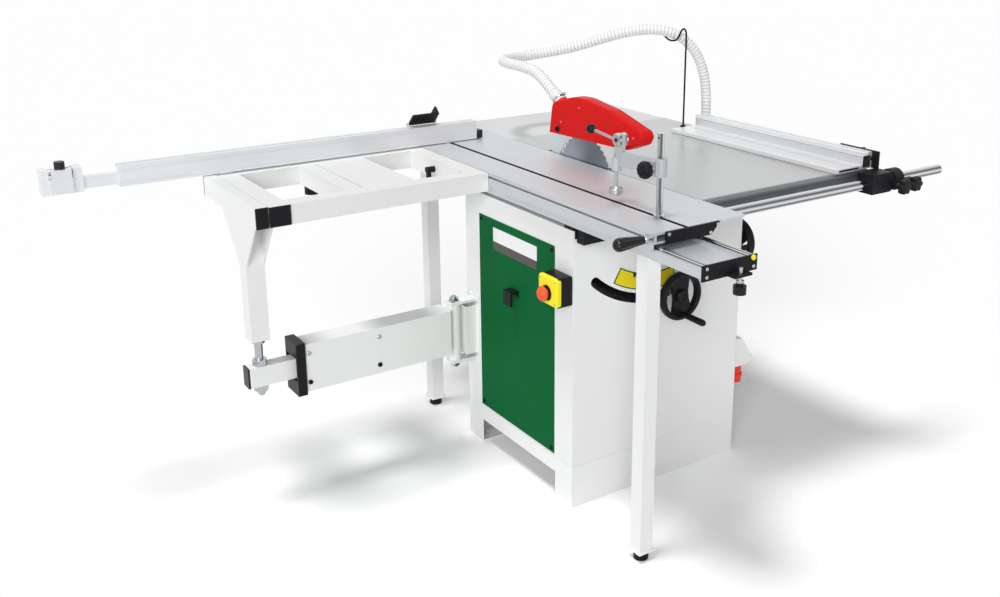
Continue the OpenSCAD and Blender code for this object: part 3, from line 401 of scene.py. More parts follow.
@dataclass(frozen=True)
class RoundFinish(Finish):
    """A finish that runs in rings round a centre, with a rim of its own."""

    centre: Point = (0.0, 0.0, 0.0)
    keep: Point = (0.0, 1.0, 1.0)
    rim: float = 1.0
    rim_color: Color = (0.7, 0.7, 0.7)
    # share of painted sheen: light and dark fans round the centre
    sheen: float = 0.0
    rings: float = 900.0

    def reach(self, g: Graph, place: Socket) -> tuple[Socket, Sockets]:
        """Measures from the centre line.

        Args:
            g: the material's graph.
            place: the Object coordinates.

        Returns:
            The distance from the centre line, and the parts of the place seen from the centre.
        """
        moved = g.vector("SUBTRACT", place, self.centre).outputs[0]
        flat = g.vector("MULTIPLY", moved, self.keep).outputs[0]
        return g.vector("LENGTH", flat).outputs["Value"], g.split(flat)

    def tint(self, g: Graph, place: Socket, tone: Socket) -> Socket:
        """Rings of noise on the distance, painted sheen as light and dark fans on the angle, and the rim's
        colour beyond the rim.

        Args:
            g: the material's graph.
            place: the Object coordinates.
            tone: the slow grain, 0 to 1.

        Returns:
            The colour.
        """
        far, parts = self.reach(g, place)
        wave = {"W": g.math("MULTIPLY", far, self.rings), "Detail": 3.0}
        noise = g.node("ShaderNodeTexNoise", wave, noise_dimensions="1D").outputs[0]
        turn = g.math("MULTIPLY_ADD", g.math("ARCTAN2", parts[2], parts[1]), 2.0, 0.6)
        painted_sheen_fan = g.math("MULTIPLY_ADD", g.math("SINE", turn), 0.5, 0.5)
        share = g.blend(self.sheen, noise, painted_sheen_fan)
        color = Finish.tint(self, g, place, share)
        return g.mix(g.math("GREATER_THAN", far, self.rim), color, rgba(self.rim_color))


@dataclass(frozen=True)
class ScaleFinish(RoundFinish):
    """Printed arc scale: yellow with a black border and black wedge marks at even angles."""

    inner: float = 0.240
    outer: float = 0.286
    first: float = -14.0
    last: float = 31.0
    pitch: float = 18.0
    line: float = 0.0028
    mark: float = 0.017
    slope: float = 0.6

    def tint(self, g: Graph, place: Socket, tone: Socket) -> Socket:
        """Black within a line of the four borders, and in each wedge, which narrows away from the inner one.

        Args:
            g: the material's graph.
            place: the Object coordinates.
            tone: the slow grain, 0 to 1.

        Returns:
            The colour.
        """
        far, parts = self.reach(g, place)
        middle = 0.5 * (self.inner + self.outer)
        turn = g.math("ARCTAN2", g.math("MULTIPLY", parts[0], -1.0), g.math("MULTIPLY", parts[2], -1.0))
        along = g.math("MULTIPLY", turn, middle)
        step = math.radians(self.pitch) * middle
        off = g.math("ABSOLUTE", g.math("WRAP", along, 0.5 * step, -0.5 * step))
        wide = g.math("MULTIPLY", g.math("SUBTRACT", self.inner + self.mark, far), self.slope)
        dark: object = 0.0
        for mask in (
            g.math("LESS_THAN", far, self.inner + self.line),
            g.math("GREATER_THAN", far, self.outer - self.line),
            g.math("LESS_THAN", along, math.radians(self.first) * middle + self.line),
            g.math("GREATER_THAN", along, math.radians(self.last) * middle - self.line),
            g.math("LESS_THAN", off, wide),
        ):
            dark = g.math("MAXIMUM", dark, mask)
        return g.mix(dark, Finish.tint(self, g, place, tone), rgba(self.rim_color))


@dataclass(frozen=True)
class FloorFinish(Finish):
    """Pale floor that takes shadows and shows a little brighter to the camera and to mirrors."""

    lift: float = 0.10

    def surface(self, g: Graph, shader: Node) -> Socket:
        """Adds a weak glow for camera, glossy and transmission rays only."""
        glow = g.node("ShaderNodeEmission", {"Strength": g.math("MULTIPLY", g.seen(), self.lift)})
        return g.node("ShaderNodeAddShader", {0: shader.outputs[0], 1: glow.outputs[0]}).outputs[0]


WHITE: Color = (0.83, 0.84, 0.83)
BLACK: Color = (0.011, 0.011, 0.013)
ZINC: Color = (0.46, 0.48, 0.50)
# Painted shade for the inside of the carriage's T-slot.
PAINTED_SLOT_SHADE: Color = (0.03, 0.03, 0.03)
# Painted shade for the hollow chambers in the rip fence's end.
PAINTED_HOLLOW_SHADE: Color = (0.045, 0.046, 0.050)
FENCE_LINE: Color = (0.36, 0.37, 0.38)
ALONG_X: Point = (0.012, 1.0, 1.0)
ALONG_Y: Point = (1.0, 0.012, 1.0)
DOWN_Z: Point = (1.0, 1.0, 0.05)

WHITE_PAINT = Finish("white_paint", WHITE, 0.42, grain=220.0, tone=0.012, bump=0.00006, soil=0.02)
# White paint darkened for the rear table: painted shade, a shaded copy of the white paint.
SHADED_REAR_PAINT = replace(WHITE_PAINT, name="rear_paint_shaded", color=(0.68, 0.69, 0.69))
LEG_PAINT = replace(WHITE_PAINT, name="leg_paint", zones=(Zone(ZINC, 0.24, 0.95, z=(-FAR, 0.4801)),))
TUBE_PAINT = replace(WHITE_PAINT, name="tube_paint", zones=(Zone(BLACK, 0.4, x=(-FAR, -0.9955)),))
HINGE_PIN = Zone(ZINC, 0.26, 0.95, x=(-0.381, -0.351), y=(0.217, 0.247))
HINGE_PAINT = replace(WHITE_PAINT, name="hinge_paint", zones=(HINGE_PIN,))
GREEN_PAINT = Finish(
    "green_paint", (0.0055, 0.118, 0.034), 0.40, grain=220.0, tone=0.05, specular=0.015, soil=0.0
)
BLACK_PAINT = Finish(
    "black_paint", BLACK, 0.42, grain=300.0, tone=0.15, bump=0.0001, specular=0.10, soil=0.005,
    slot="black_paint",
)
BLACK_PLASTIC = Finish(
    "black_plastic", BLACK, 0.34, grain=500.0, tone=0.12, bump=0.0001, specular=0.11, soil=0.005,
    slot="black_plastic",
)
GLOSS_BLACK = Finish(
    "gloss_black", BLACK, 0.10, grain=300.0, tone=0.1, bump=0.00003, spread=0.02, specular=0.2, soil=0.0,
    slot="black_plastic",
)
RED_PLASTIC = Finish(
    "red_plastic", (0.66, 0.014, 0.013), 0.28, grain=320.0, tone=0.04, specular=0.03, soil=0.0,
    slot="red_plastic",
)
SIGNAL_RED = Finish(
    "signal_red", (0.84, 0.125, 0.05), 0.36, grain=400.0, tone=0.05, specular=0.05, soil=0.0,
    slot="red_plastic",
)
YELLOW_PLASTIC = Finish(
    "yellow_plastic", (0.90, 0.80, 0.035), 0.34, grain=400.0, tone=0.03, specular=0.06, soil=0.0,
    slot="yellow_plastic",
)
RUBBER = Finish("rubber", (0.015, 0.015, 0.015), 0.7, grain=300.0, tone=0.2)
BLANK_PLATE = Finish(
    "blank_plate", (0.84, 0.84, 0.84), 0.35, grain=300.0, tone=0.01, soil=0.0,
    zones=(Zone((0.066, 0.060, 0.060), 0.4, z=(-FAR, 0.6655)),),
)
INLET_PLASTIC = Finish(
    "inlet_plastic", (0.82, 0.82, 0.81), 0.4, grain=300.0, tone=0.02,
    zones=(Zone((0.80, 0.03, 0.02), 0.35, z=(-FAR, 0.2625)),),
)
LOCK_PLASTIC = Finish(
    "lock_plastic", BLACK, 0.36, grain=500.0, tone=0.12, specular=0.18,
    zones=(Zone(ZINC, 0.26, 0.95, z=(0.785, FAR)),),
)
GROUND_IRON = Finish(
    "ground_iron", (0.52, 0.53, 0.53), 0.30, metallic=0.85, grain=90.0, stretch=(1.0, 0.03, 1.0), tone=0.12
)
DARK_IRON = Finish("dark_iron", (0.10, 0.10, 0.11), 0.5, metallic=0.5, grain=120.0, tone=0.2, bump=0.0004)
CAST_GREY = Finish("cast_grey", (0.50, 0.52, 0.53), 0.45, metallic=0.4, grain=180.0, tone=0.06, bump=0.0003)
ALUMINIUM_Y = Finish(
    "aluminium_lengthwise", (0.60, 0.62, 0.64), 0.48, metallic=0.6, grain=240.0, stretch=ALONG_Y, tone=0.07
)
TABLE_ALUMINIUM = replace(
    ALUMINIUM_Y,
    name="table_aluminium",
    # These zones paint shade into the T-slot.
    zones=(
        Zone(PAINTED_SLOT_SHADE, 0.6, x=(-0.2182, -0.2058), z=(0.8530, 0.8698)),
        Zone(PAINTED_SLOT_SHADE, 0.6, x=(-0.2222, -0.2018), z=(0.8530, 0.8625)),
    ),
)
# Aluminium for the front rail, darkened to stand for the shade in the gap under the table's edge: painted
# shade.
SHADED_RAIL_ALUMINIUM = Finish(
    "aluminium_crosswise_shaded", (0.22, 0.23, 0.24), 0.38, metallic=0.7, grain=240.0, stretch=ALONG_X, tone=0.07
)
FENCE_ALUMINIUM = Finish(
    "fence_aluminium", (0.80, 0.82, 0.84), 0.38, metallic=0.55, grain=240.0, stretch=ALONG_X, tone=0.07,
    zones=(Zone(BLACK, 0.4, x=(-0.1181, FAR)),),
)
STOP_ALUMINIUM = Finish(
    "stop_aluminium", (0.76, 0.78, 0.80), 0.40, metallic=0.55, grain=240.0, stretch=ALONG_X, tone=0.07,
    zones=(Zone(BLACK, 0.4, z=(0.9395, FAR)),),
)
RIP_ALUMINIUM = Finish(
    "rip_aluminium", (0.84, 0.85, 0.86), 0.32, metallic=0.6, grain=240.0, stretch=ALONG_Y, tone=0.06,
    # The first two zones paint shade into the fence's hollows.
    zones=(
        Zone(PAINTED_HOLLOW_SHADE, 0.6, x=(0.5697, 0.6003), z=(0.8747, 0.9083)),
        Zone(PAINTED_HOLLOW_SHADE, 0.6, x=(0.4737, 0.5543), z=(0.8737, 0.8793)),
        Zone((0.64, 0.66, 0.68), 0.34, 0.6, x=(0.5655, 0.5668), z=(0.8825, 0.9050)),
        Zone(FENCE_LINE, 0.40, 0.6, x=(0.5655, 0.5668), z=(0.9050, 0.9066)),
        Zone(FENCE_LINE, 0.40, 0.6, x=(0.5300, 0.5318), z=(0.8815, 0.8825)),
    ),
)
# Bright steel: its colour holds painted reflection bands, set by the way each surface faces.
BRIGHT_STEEL = PaintedReflectionFinish(
    "bright_steel", (0.54, 0.55, 0.57), 0.16, metallic=1.0, grain=300.0, tone=0.05, bump=0.00002,
    slot="bright_steel",
)
STEEL = Finish(
    "ground_steel", (0.50, 0.52, 0.54), 0.30, metallic=0.95, grain=260.0, stretch=DOWN_Z, tone=0.1,
    slot="steel",
)
KNIFE_STEEL = Finish(
    "knife_steel", (0.70, 0.77, 0.79), 0.34, metallic=0.85, grain=260.0, stretch=DOWN_Z, tone=0.08
)
ZINC_PLATE = Finish("zinc_plate", ZINC, 0.26, metallic=0.95, grain=350.0, tone=0.08, slot="steel")
CLAMP_ZINC = replace(ZINC_PLATE, slot="bright_steel")
# Blade steel: rings of noise plus painted sheen in fans round the centre, and the tips' colour beyond the
# rim.
BLADE_STEEL = RoundFinish(
    "blade_steel", (0.27, 0.30, 0.34), 0.30, metallic=0.9, tone=0.55, slot="steel",
    centre=BLADE_CENTRE, rim=0.1255, rim_color=(0.52, 0.53, 0.55), sheen=0.7,
)
TILT_PRINT = ScaleFinish(
    "tilt_print", (0.80, 0.66, 0.008), 0.42, grain=300.0, tone=0.04, specular=0.15, soil=0.0,
    centre=(-0.018, 0.0, 0.870), keep=(1.0, 0.0, 1.0), rim_color=(0.02, 0.014, 0.014),
)
HOSE = HoseFinish(
    "clear_hose", (0.90, 0.90, 0.89), 0.32, grain=200.0, specular=0.4, soil=0.0, slot="hose_plastic"
)
FLOOR = FloorFinish(
    "studio_pale", (0.93, 0.93, 0.93), 0.7, grain=3.0, tone=0.004, bump=0.0, spread=0.02, specular=0.0,
    soil=0.0,
)


def node_finishes() -> dict[str, Finish]:
    """Chooses the finish of each CAD node.

    Returns:
        Node name to finish.
    """
    groups = {
        WHITE_PAINT: "cabinet beam_legs outrigger arm_box",
        SHADED_REAR_PAINT: "rear_table",
        LEG_PAINT: "outrigger_leg",
        TUBE_PAINT: "arm_tube",
        HINGE_PAINT: "arm_hinge",
        GREEN_PAINT: "side_panel",
        BLANK_PLATE: "name_plate",
        INLET_PLASTIC: "mains_inlet",
        BLACK_PAINT: "beam_plates hose_hook carriage_plates mid_stop fence_carrier",
        BLACK_PLASTIC: "stick_hook switch_base leg_feet rise_wheel tilt_wheel guide_shoes push_handle "
        "clamp_knob outrigger_caps outrigger_lever arm_collar fence_knob carrier_knob bar_knob dust_port",
        LOCK_PLASTIC: "slide_lock",
        RED_PLASTIC: "stop_button guard",
        YELLOW_PLASTIC: "switch_cover",
        TILT_PRINT: "tilt_scale",
        RUBBER: "belt",
        GROUND_IRON: "main_table",
        DARK_IRON: "trunnion_brackets cradle arbor_block motor",
        ALUMINIUM_Y: "beam",
        TABLE_ALUMINIUM: "carriage",
        RIP_ALUMINIUM: "rip_fence",
        SHADED_RAIL_ALUMINIUM: "front_rail",
        FENCE_ALUMINIUM: "crosscut_fence fence_extension",
        STOP_ALUMINIUM: "flip_stop",
        BRIGHT_STEEL: "fence_bar guide_rods clamp_post cam_lever",
        BLADE_STEEL: "saw_blade",
        KNIFE_STEEL: "riving_knife",
        CAST_GREY: "clamp_arm",
        STEEL: "motor_pulley arbor clamp_pad",
    }
    return {node: finish for finish, nodes in groups.items() for node in nodes.split()}


def dress(obj: Piece, finish: Finish) -> None:
    """Gives an object one finish: in each slot that it has, or in a new one.

    Args:
        obj: the object.
        finish: the finish.
    """
    if not obj.material_slots:
        obj.data.materials.append(finish.build())
    for slot in obj.material_slots:
        slot.material = finish.build()


# Surfaces


def unit(rows: np.ndarray) -> np.ndarray:
    """Brings each row of an array (n, 2) or (n, 3) to length one."""
    return rows / (np.linalg.norm(rows, axis=1)[:, None] + 1e-12)


def circle(points: int) -> np.ndarray:
    """Even angles once round, without the last."""
    return np.linspace(0, 2 * math.pi, points, endpoint=False)


def quads(rows: int, cols: int, close_u: bool, close_v: bool) -> np.ndarray:
    """Numbers the corners of the faces between neighbouring points of a grid.

    Args:
        rows: rows of the grid.
        cols: columns of the grid.
        close_u: the last row joins the first.
        close_v: the last column joins the first.

    Returns:
        Corner numbers (n, 4).
    """
    u = np.arange(rows if close_u else rows - 1)
    v = np.arange(cols if close_v else cols - 1)
    uu, vv = np.meshgrid(u, v, indexing="ij")
    un, vn = (uu + 1) % rows, (vv + 1) % cols
    corners = [uu * cols + vv, uu * cols + vn, un * cols + vn, un * cols + vv]
    return np.stack(corners, -1).reshape(-1, 4)


def solid(name: str, points: np.ndarray, faces: list, sharp: float = 35.0) -> Piece:
    """Makes an object of points and faces, with poles closed, normals outwards and smooth shading.

    Args:
        name: name of the object and mesh.
        points: array (n, 3).
        faces: lists of corner numbers.
        sharp: edges over this angle, in degrees, stay sharp.

    Returns:
        The object, linked to the scene.
    """
    mesh = bpy.data.meshes.new(name)
    mesh.from_pydata(points.tolist(), [], faces)
    work = bmesh.new()
    work.from_mesh(mesh)
    bmesh.ops.remove_doubles(work, verts=work.verts, dist=1e-6)
    bmesh.ops.recalc_face_normals(work, faces=work.faces)
    work.to_mesh(mesh)
    work.free()
    mesh.shade_smooth()
    mesh.set_sharp_from_angle(angle=math.radians(sharp))
    made = bpy.data.objects.new(name, mesh)
    bpy.context.scene.collection.objects.link(made)
    return made


def grid_mesh(
    name: str,
    points: np.ndarray,
    close_u: bool = False,
    close_v: bool = True,
    caps: bool = False,
    sharp: float = 35.0,
) -> Piece:
    """Makes a mesh of quads between neighbouring points of a grid.

    Args:
        name: name of the object.
        points: array (rows, columns, 3).
        close_u: the last row joins the first.
        close_v: the last column joins the first.
        caps: the first and last rows are closed by a face each.
        sharp: edges over this angle, in degrees, stay sharp.

    Returns:
        The object.
    """
    rows, cols = points.shape[:2]
    faces = quads(rows, cols, close_u, close_v).tolist()
    if caps:
        faces += [list(range(cols))[::-1], list(range((rows - 1) * cols, rows * cols))]
    return solid(name, points.reshape(-1, 3), faces, sharp)


def bends(
    a: np.ndarray, p: np.ndarray, c: np.ndarray, radius: object, share: float, steps: int
) -> np.ndarray:
    """Rounds corners: each becomes (1-t)^2 A + 2 t (1-t) P + t^2 C, with A and C near P on its two sides.

    Args:
        a: points before the corners (n, 2).
        p: the corners (n, 2).
        c: points after the corners (n, 2).
        radius: distance from a corner at which rounding starts, one for all or one for each.
        share: the most that rounding takes of the shorter side.
        steps: points for each corner.

    Returns:
        Points (n * steps, 2).
    """
    shorter = np.minimum(np.linalg.norm(a - p, axis=1), np.linalg.norm(c - p, axis=1))
    reach = np.minimum(radius, share * shorter)[:, None]
    first, last = p + reach * unit(a - p), p + reach * unit(c - p)
    t = np.linspace(0, 1, steps)[None, :, None]
    curve = (1 - t) ** 2 * first[:, None] + 2 * t * (1 - t) * p[:, None] + t**2 * last[:, None]
    return curve.reshape(-1, 2)


def fillet(corners: np.ndarray, radius: float, steps: int = 6) -> np.ndarray:
    """Rounds the corners of a closed outline.

    Args:
        corners: points (n, 2).
        radius: distance from a corner at which rounding starts.
        steps: points for each corner.

    Returns:
        Points (n * steps, 2), counter-clockwise.
    """
    ahead = np.roll(corners, -1, axis=0)
    if np.sum(corners[:, 0] * ahead[:, 1] - corners[:, 1] * ahead[:, 0]) < 0:
        corners = corners[::-1]
    return bends(np.roll(corners, 1, axis=0), corners, np.roll(corners, -1, axis=0), radius, 0.49, steps)


def raise_outline(outline: np.ndarray, axis: Axis, level: float) -> np.ndarray:
    """Places a flat outline square to an axis at a level."""
    return np.insert(outline, axis.value, level, axis=1)


def slab(
    name: str, outline: np.ndarray, axis: Axis, low: float, high: float, edge: float = 0.003, steps: int = 4
) -> Piece:
    """Stretches an outline along an axis, with rounded rims.

    Row by row the outline moves inwards by edge * (1 - sine) while the level moves by edge * (1 - cosine).

    Args:
        name: name of the piece.
        outline: dense closed outline (n, 2), counter-clockwise, in the two other axes in order.
        axis: the axis of the stretch.
        low: lower level.
        high: upper level.
        edge: radius of the rims.
        steps: rows of each rim.

    Returns:
        The object.
    """
    run = unit(np.roll(outline, -1, axis=0) - np.roll(outline, 1, axis=0))
    inward = np.stack([-run[:, 1], run[:, 0]], -1)
    turn = np.linspace(0, math.pi / 2, steps)
    inset = edge * (1 - np.sin(turn))
    level = edge * (1 - np.cos(turn))
    insets = np.concatenate([inset, inset[::-1]])
    levels = np.concatenate([low + level, (high - level)[::-1]])
    rows = [raise_outline(outline + d * inward, axis, h) for d, h in zip(insets, levels)]
    return grid_mesh(name, np.array(rows), caps=True)


def box(low: Pair, high: Pair) -> np.ndarray:
    """Corners of a rectangle."""
    return np.array([low, (high[0], low[1]), high, (low[0], high[1])], float)


def lobes(centre: Pair, radius: float, depth: float, count: int, points: int = 120) -> np.ndarray:
    """A lobed round outline: its reach is radius - depth * (1 - |cosine of half count turns|).

    Args:
        centre: middle of the outline.
        radius: reach of a lobe.
        depth: depth of the hollows.
        count: number of lobes.
        points: points round the outline.

    Returns:
        Points (points, 2).
    """
    turn = circle(points)
    reach = radius - depth * (1 - np.abs(np.cos(turn * count / 2)))
    return np.array(centre) + reach[:, None] * np.stack([np.cos(turn), np.sin(turn)], -1)


def dome(start: float, radius: float, turn: np.ndarray) -> list[Pair]:
    """Profile of part of a ball: start + radius * sine along the line, radius * cosine from it."""
    return list(zip((start + radius * np.sin(turn)).tolist(), (radius * np.cos(turn)).tolist()))


def turned(
    profile: Profile, origin: Point, along: Point, sides: int = 48, flutes: int = 0, cut: float = 0.0
) -> np.ndarray:
    """Points of a profile turned round a line.

    Each profile pair is a distance along the line and a radius; the surface is origin + distance * line
    + radius * (1 - cut * (1 - cosine of flutes * angle) / 2) * (cosine * side + sine * up).

    Args:
        profile: pairs of distance and radius, from one end to the other.
        origin: start of the line.
        along: direction of the line.
        sides: points round the line.
        flutes: number of hollows round the line.
        cut: depth of the hollows as a share of the radius.

    Returns:
        Array (rows, sides, 3).
    """
    line = Vector(along).normalized()
    side = line.orthogonal().normalized()
    up = line.cross(side)
    gone, far = np.array(profile, float).T[:, :, None, None]
    turn = circle(sides)
    spokes = np.cos(turn)[:, None] * np.array(side) + np.sin(turn)[:, None] * np.array(up)
    spokes *= (1 - cut * (1 - np.cos(flutes * turn)) / 2)[:, None]
    return np.array(origin) + gone * np.array(line) + far * spokes[None]


def lathe(name: str, profile: Profile, origin: Point, along: Point, **how: float) -> Piece:
    """Makes a turned piece of a profile that starts and ends on its line."""
    return grid_mesh(name, turned(profile, origin, along, **how))


def ring(name: str, profile: Profile, origin: Point, along: Point) -> Piece:
    """Makes a turned piece of a closed profile that goes round its line."""
    return grid_mesh(name, turned(profile, origin, along), close_u=True)


def heads(
    name: str,
    spots: Sequence[Point],
    along: Point,
    radius: float,
    height: float,
    socket: float = 0.5,
    sides: int = 20,
) -> Piece:
    """Socket-head screws, all in one mesh: one turned head moved to each spot.

    Args:
        name: name of the piece.
        spots: where the heads sit.
        along: the way that they face.
        radius: radius of a head.
        height: height of a head.
        socket: radius of the socket as a share of the head's.
        sides: points round a head.

    Returns:
        The object.
    """
    rim, hole, floor = 0.75 * radius, socket * radius, 0.45 * height
    profile = [(0, 0), (0, radius), (0.75 * height, radius), (0.95 * height, 0.88 * radius),
               (height, rim), (height, hole), (floor, hole), (floor, 0)]
    one = turned(profile, (0, 0, 0), along, sides)
    count = one.shape[0] * one.shape[1]
    points = np.array(spots)[:, None] + one.reshape(-1, 3)[None]
    faces = quads(one.shape[0], sides, False, True)[None] + count * np.arange(len(spots))[:, None, None]
    return solid(name, points.reshape(-1, 3), faces.reshape(-1, 4).tolist())


STEADY: Point = (0.4, -0.5, 0.77)


def tube_points(path: np.ndarray, radius: np.ndarray, sides: int) -> np.ndarray:
    """Rings along a path: centre plus radius times cosine and sine on two directions square to the path.

    The first direction is the tangent crossed with a steady one, and the second the tangent crossed with it.

    Args:
        path: centre line (rows, 3).
        radius: radius at each place (rows).
        sides: points round the path.

    Returns:
        Array (rows, sides, 3).
    """
    tangent = unit(np.gradient(path, axis=0))
    side = unit(np.cross(tangent, np.array(STEADY)))
    up = np.cross(tangent, side)
    turn = circle(sides)
    rings = np.cos(turn)[None, :, None] * side[:, None] + np.sin(turn)[None, :, None] * up[:, None]
    return path[:, None] + radius[:, None, None] * rings


def smooth_path(points: np.ndarray, count: int, dense: int = 40) -> np.ndarray:
    """Even points on the smooth curve through route points.

    Between two route points the curve is the cubic that leaves and meets them along their neighbours' chord.

    Args:
        points: route points (n, 3).
        count: number of points wanted.
        dense: points of the curve, for each route point, that lengths are measured on.

    Returns:
        Points (count, 3), evenly spaced.
    """
    padded = np.vstack([2 * points[0] - points[1], points, 2 * points[-1] - points[-2]])
    step = np.linspace(0, len(points) - 1, dense * len(points))
    k = np.minimum(step.astype(int), len(points) - 2)
    t = (step - k)[:, None]
    p, q, r, s = (padded[k + i] for i in range(4))
    curve = 0.5 * (2 * q + (r - p) * t + (2 * p - 5 * q + 4 * r - s) * t**2 + (3 * q - p - 3 * r + s) * t**3)
    gone = np.concatenate([[0.0], np.cumsum(np.linalg.norm(np.diff(curve, axis=0), axis=1))])
    even = np.linspace(0, gone[-1], count)
    return np.stack([np.interp(even, gone, curve[:, i]) for i in range(3)], -1)


# Pieces


def fit(obj: Piece, finish: Finish, body: str, *stands_for: str) -> Piece:
    """Dresses a piece, lets it ride on a body and stand for CAD nodes.

    Args:
        obj: the piece.
        finish: its finish.
        body: the body that it rides on.
        stands_for: CAD nodes that it replaces.

    Returns:
        The piece.
    """
    dress(obj, finish)
    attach(obj, body)
    if stands_for:
        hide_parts(*stands_for)
    return obj


SPOUT_MOUTH: Point = (-0.018, 0.175, 1.024)
SPOUT_AIM: Point = (0.0, 0.8660254, 0.5)


@dataclass
class DustHose:
    """Ribbed clear hose from the guard's spout over the hook to the dust port.

    It is made in two lengths: a near one of the first ribs and a far one of the rest.
    """

    radius: float = 0.017
    depth: float = 0.0016
    crest: float = 1.6
    ribs: int = 190
    near_ribs: int = 22
    sides: int = 24
    per_rib: int = 6
    straight: float = 0.036
    cuff_ribs: int = 4
    cuff_span: Pair = (0.005, 0.047)
    cuff_radius: float = 0.0200
    cuff_depth: float = 0.0015
    spout: Point = (-0.018, 0.20968, 1.04403)
    branch: Point = (0.16005, 0.380, 0.300)
    swing: tuple[Point, Point] = ((0.0, 0.5, 1.1), (0.35, 0.5, 1.1))
    middle: tuple[Point, ...] = (
        (-0.018, 0.306, 1.095), (-0.019, 0.345, 1.103), (-0.020, 0.400, 1.107), (-0.020, 0.455, 1.107),
        (-0.009, 0.509, 1.106), (0.021, 0.555, 1.104), (0.066, 0.587, 1.102), (0.119, 0.599, 1.103),
        (0.172, 0.589, 1.108), (0.220, 0.562, 1.117), (0.266, 0.528, 1.129), (0.310, 0.493, 1.145),
        (0.354, 0.457, 1.163), (0.399, 0.419, 1.179), (0.446, 0.380, 1.189), (0.496, 0.341, 1.188),
        (0.545, 0.311, 1.168), (0.586, 0.296, 1.133), (0.617, 0.290, 1.088), (0.639, 0.288, 1.035),
        (0.650, 0.287, 0.975), (0.653, 0.287, 0.910), (0.652, 0.289, 0.842), (0.645, 0.294, 0.772),
        (0.631, 0.303, 0.700), (0.609, 0.316, 0.630), (0.578, 0.332, 0.562), (0.538, 0.347, 0.498),
        (0.489, 0.360, 0.440), (0.431, 0.371, 0.390), (0.369, 0.378, 0.346), (0.302, 0.380, 0.313),
    )

    def route(self) -> np.ndarray:
        """Route points: straight out of the spout, over the hook, down, and straight into the branch.

        Returns:
            Points (n, 3).
        """
        start, aim, end = (np.array(p) for p in (self.spout, SPOUT_AIM, self.branch))
        first = [start + k * self.straight * aim for k in range(3)]
        last = [end + np.array((k * self.straight, 0.0, 0.0)) for k in (2, 1, 0)]
        return np.array([*first, *map(np.array, self.middle), *last])

    def wave(self, ribs: int, count: int) -> np.ndarray:
        """A cosine once each rib: 1 in a valley and 0 on a crest."""
        return 0.5 + 0.5 * np.cos(np.linspace(0, 2 * math.pi * ribs, count))

    def build(self) -> list[Piece]:
        """Builds both lengths, whose radius follows a rounded wave once each rib, and the two clamped ends.

        Returns:
            The pieces.
        """
        count = self.ribs * self.per_rib + 1
        path = smooth_path(self.route(), count)
        wave = self.wave(self.ribs, count)
        rings = tube_points(path, self.radius - self.depth * wave**self.crest, self.sides)
        cut = self.near_ribs * self.per_rib
        near = self.length("dust_hose_near", rings[: cut + 1], wave[: cut + 1])
        far = self.length("dust_hose_far", rings[cut:], wave[cut:])
        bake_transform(near)
        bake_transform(far)
        out, up = (1.0, 0.0, 0.0), (0.0, 1.0, 0.0)
        low = self.clamp("hose_clamp_low", self.branch, out, up, self.radius, "machine")
        return [near, far, *low, *self.cuff()]

    def length(self, name: str, rings: np.ndarray, wave: np.ndarray) -> Piece:
        """Args:
            name: name of the piece.
            rings: points round each place of the path (rows, sides, 3).
            wave: 1 in a valley and 0 on a crest, for each ring.

        Returns:
            The piece, with its finish and rib attribute.
        """
        made = grid_mesh(name, rings, caps=True, sharp=80.0)
        self.paint(made, wave)
        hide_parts("hose")
        return made

    def paint(self, made: Piece, wave: np.ndarray) -> None:
        """Gives a ribbed piece its finish and the rib attribute, 0 in a valley and 1 on a crest.

        Args:
            made: the piece, with one ring of points for each place.
            wave: 1 in a valley and 0 on a crest, for each ring.
        """
        sides = len(made.data.vertices) // len(wave)
        # The rib attribute steers the painted shade of the valleys.
        tint = made.data.attributes.new("rib", "FLOAT", "POINT")
        tint.data.foreach_set("value", np.repeat(1 - wave, sides).astype(np.float32))
        dress(made, HOSE)

    def cuff(self) -> list[Piece]:
        """Builds the ribbed sleeve over the spout and its clamp.

        Returns:
            The pieces, which ride on the saw unit.
        """
        count = 12 * self.cuff_ribs + 1
        along = np.linspace(*self.cuff_span, count)
        wave = self.wave(self.cuff_ribs, count)
        inner = self.radius - 0.0004
        outer = zip(along, self.cuff_radius - self.cuff_depth * wave**self.crest)
        profile = [(along[0], inner), *outer, (along[-1], inner)]
        made = grid_mesh("hose_cuff", turned(profile, SPOUT_MOUTH, SPOUT_AIM), close_u=True, sharp=80.0)
        self.paint(made, np.concatenate([[1.0], wave, [1.0]]))
        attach(made, "rise_unit")
        up = (0.0, -SPOUT_AIM[2], SPOUT_AIM[1])
        return [made, *self.clamp("hose_clamp_top", SPOUT_MOUTH, SPOUT_AIM, up, 0.0194, "rise_unit")]

    def clamp(self, name: str, start: Point, aim: Point, up: Point, radius: float, body: str) -> list[Piece]:
        """Builds a worm clamp: a thin band with rolled rims and a tangent screw on its top.

        Args:
            name: name of the band.
            start: point on the hose's line that distances are measured from.
            aim: direction of the hose.
            up: direction from the hose's line to the screw.
            radius: radius under the band.
            body: the body that it rides on.

        Returns:
            The band and the screw.
        """
        under, low, high = radius - 0.001, radius + 0.0012, radius + 0.0016
        profile = [(0.010, under), (0.010, high), (0.011, low), (0.019, low), (0.020, high), (0.020, under)]
        middle = np.array(start) + 0.015 * np.array(aim) + (radius + 0.0040) * np.array(up)
        bolt = [(-0.011, 0.0), (-0.011, 0.0040), (-0.0085, 0.0044), (-0.007, 0.0044), (-0.007, 0.0034),
                (0.007, 0.0034), (0.0085, 0.0025), (0.0085, 0.0)]
        band = ring(name, profile, start, aim)
        screw = lathe(f"{name}_screw", bolt, tuple(middle), tuple(np.cross(up, aim)), sides=18)
        return [fit(piece, CLAMP_ZINC, body) for piece in (band, screw)]


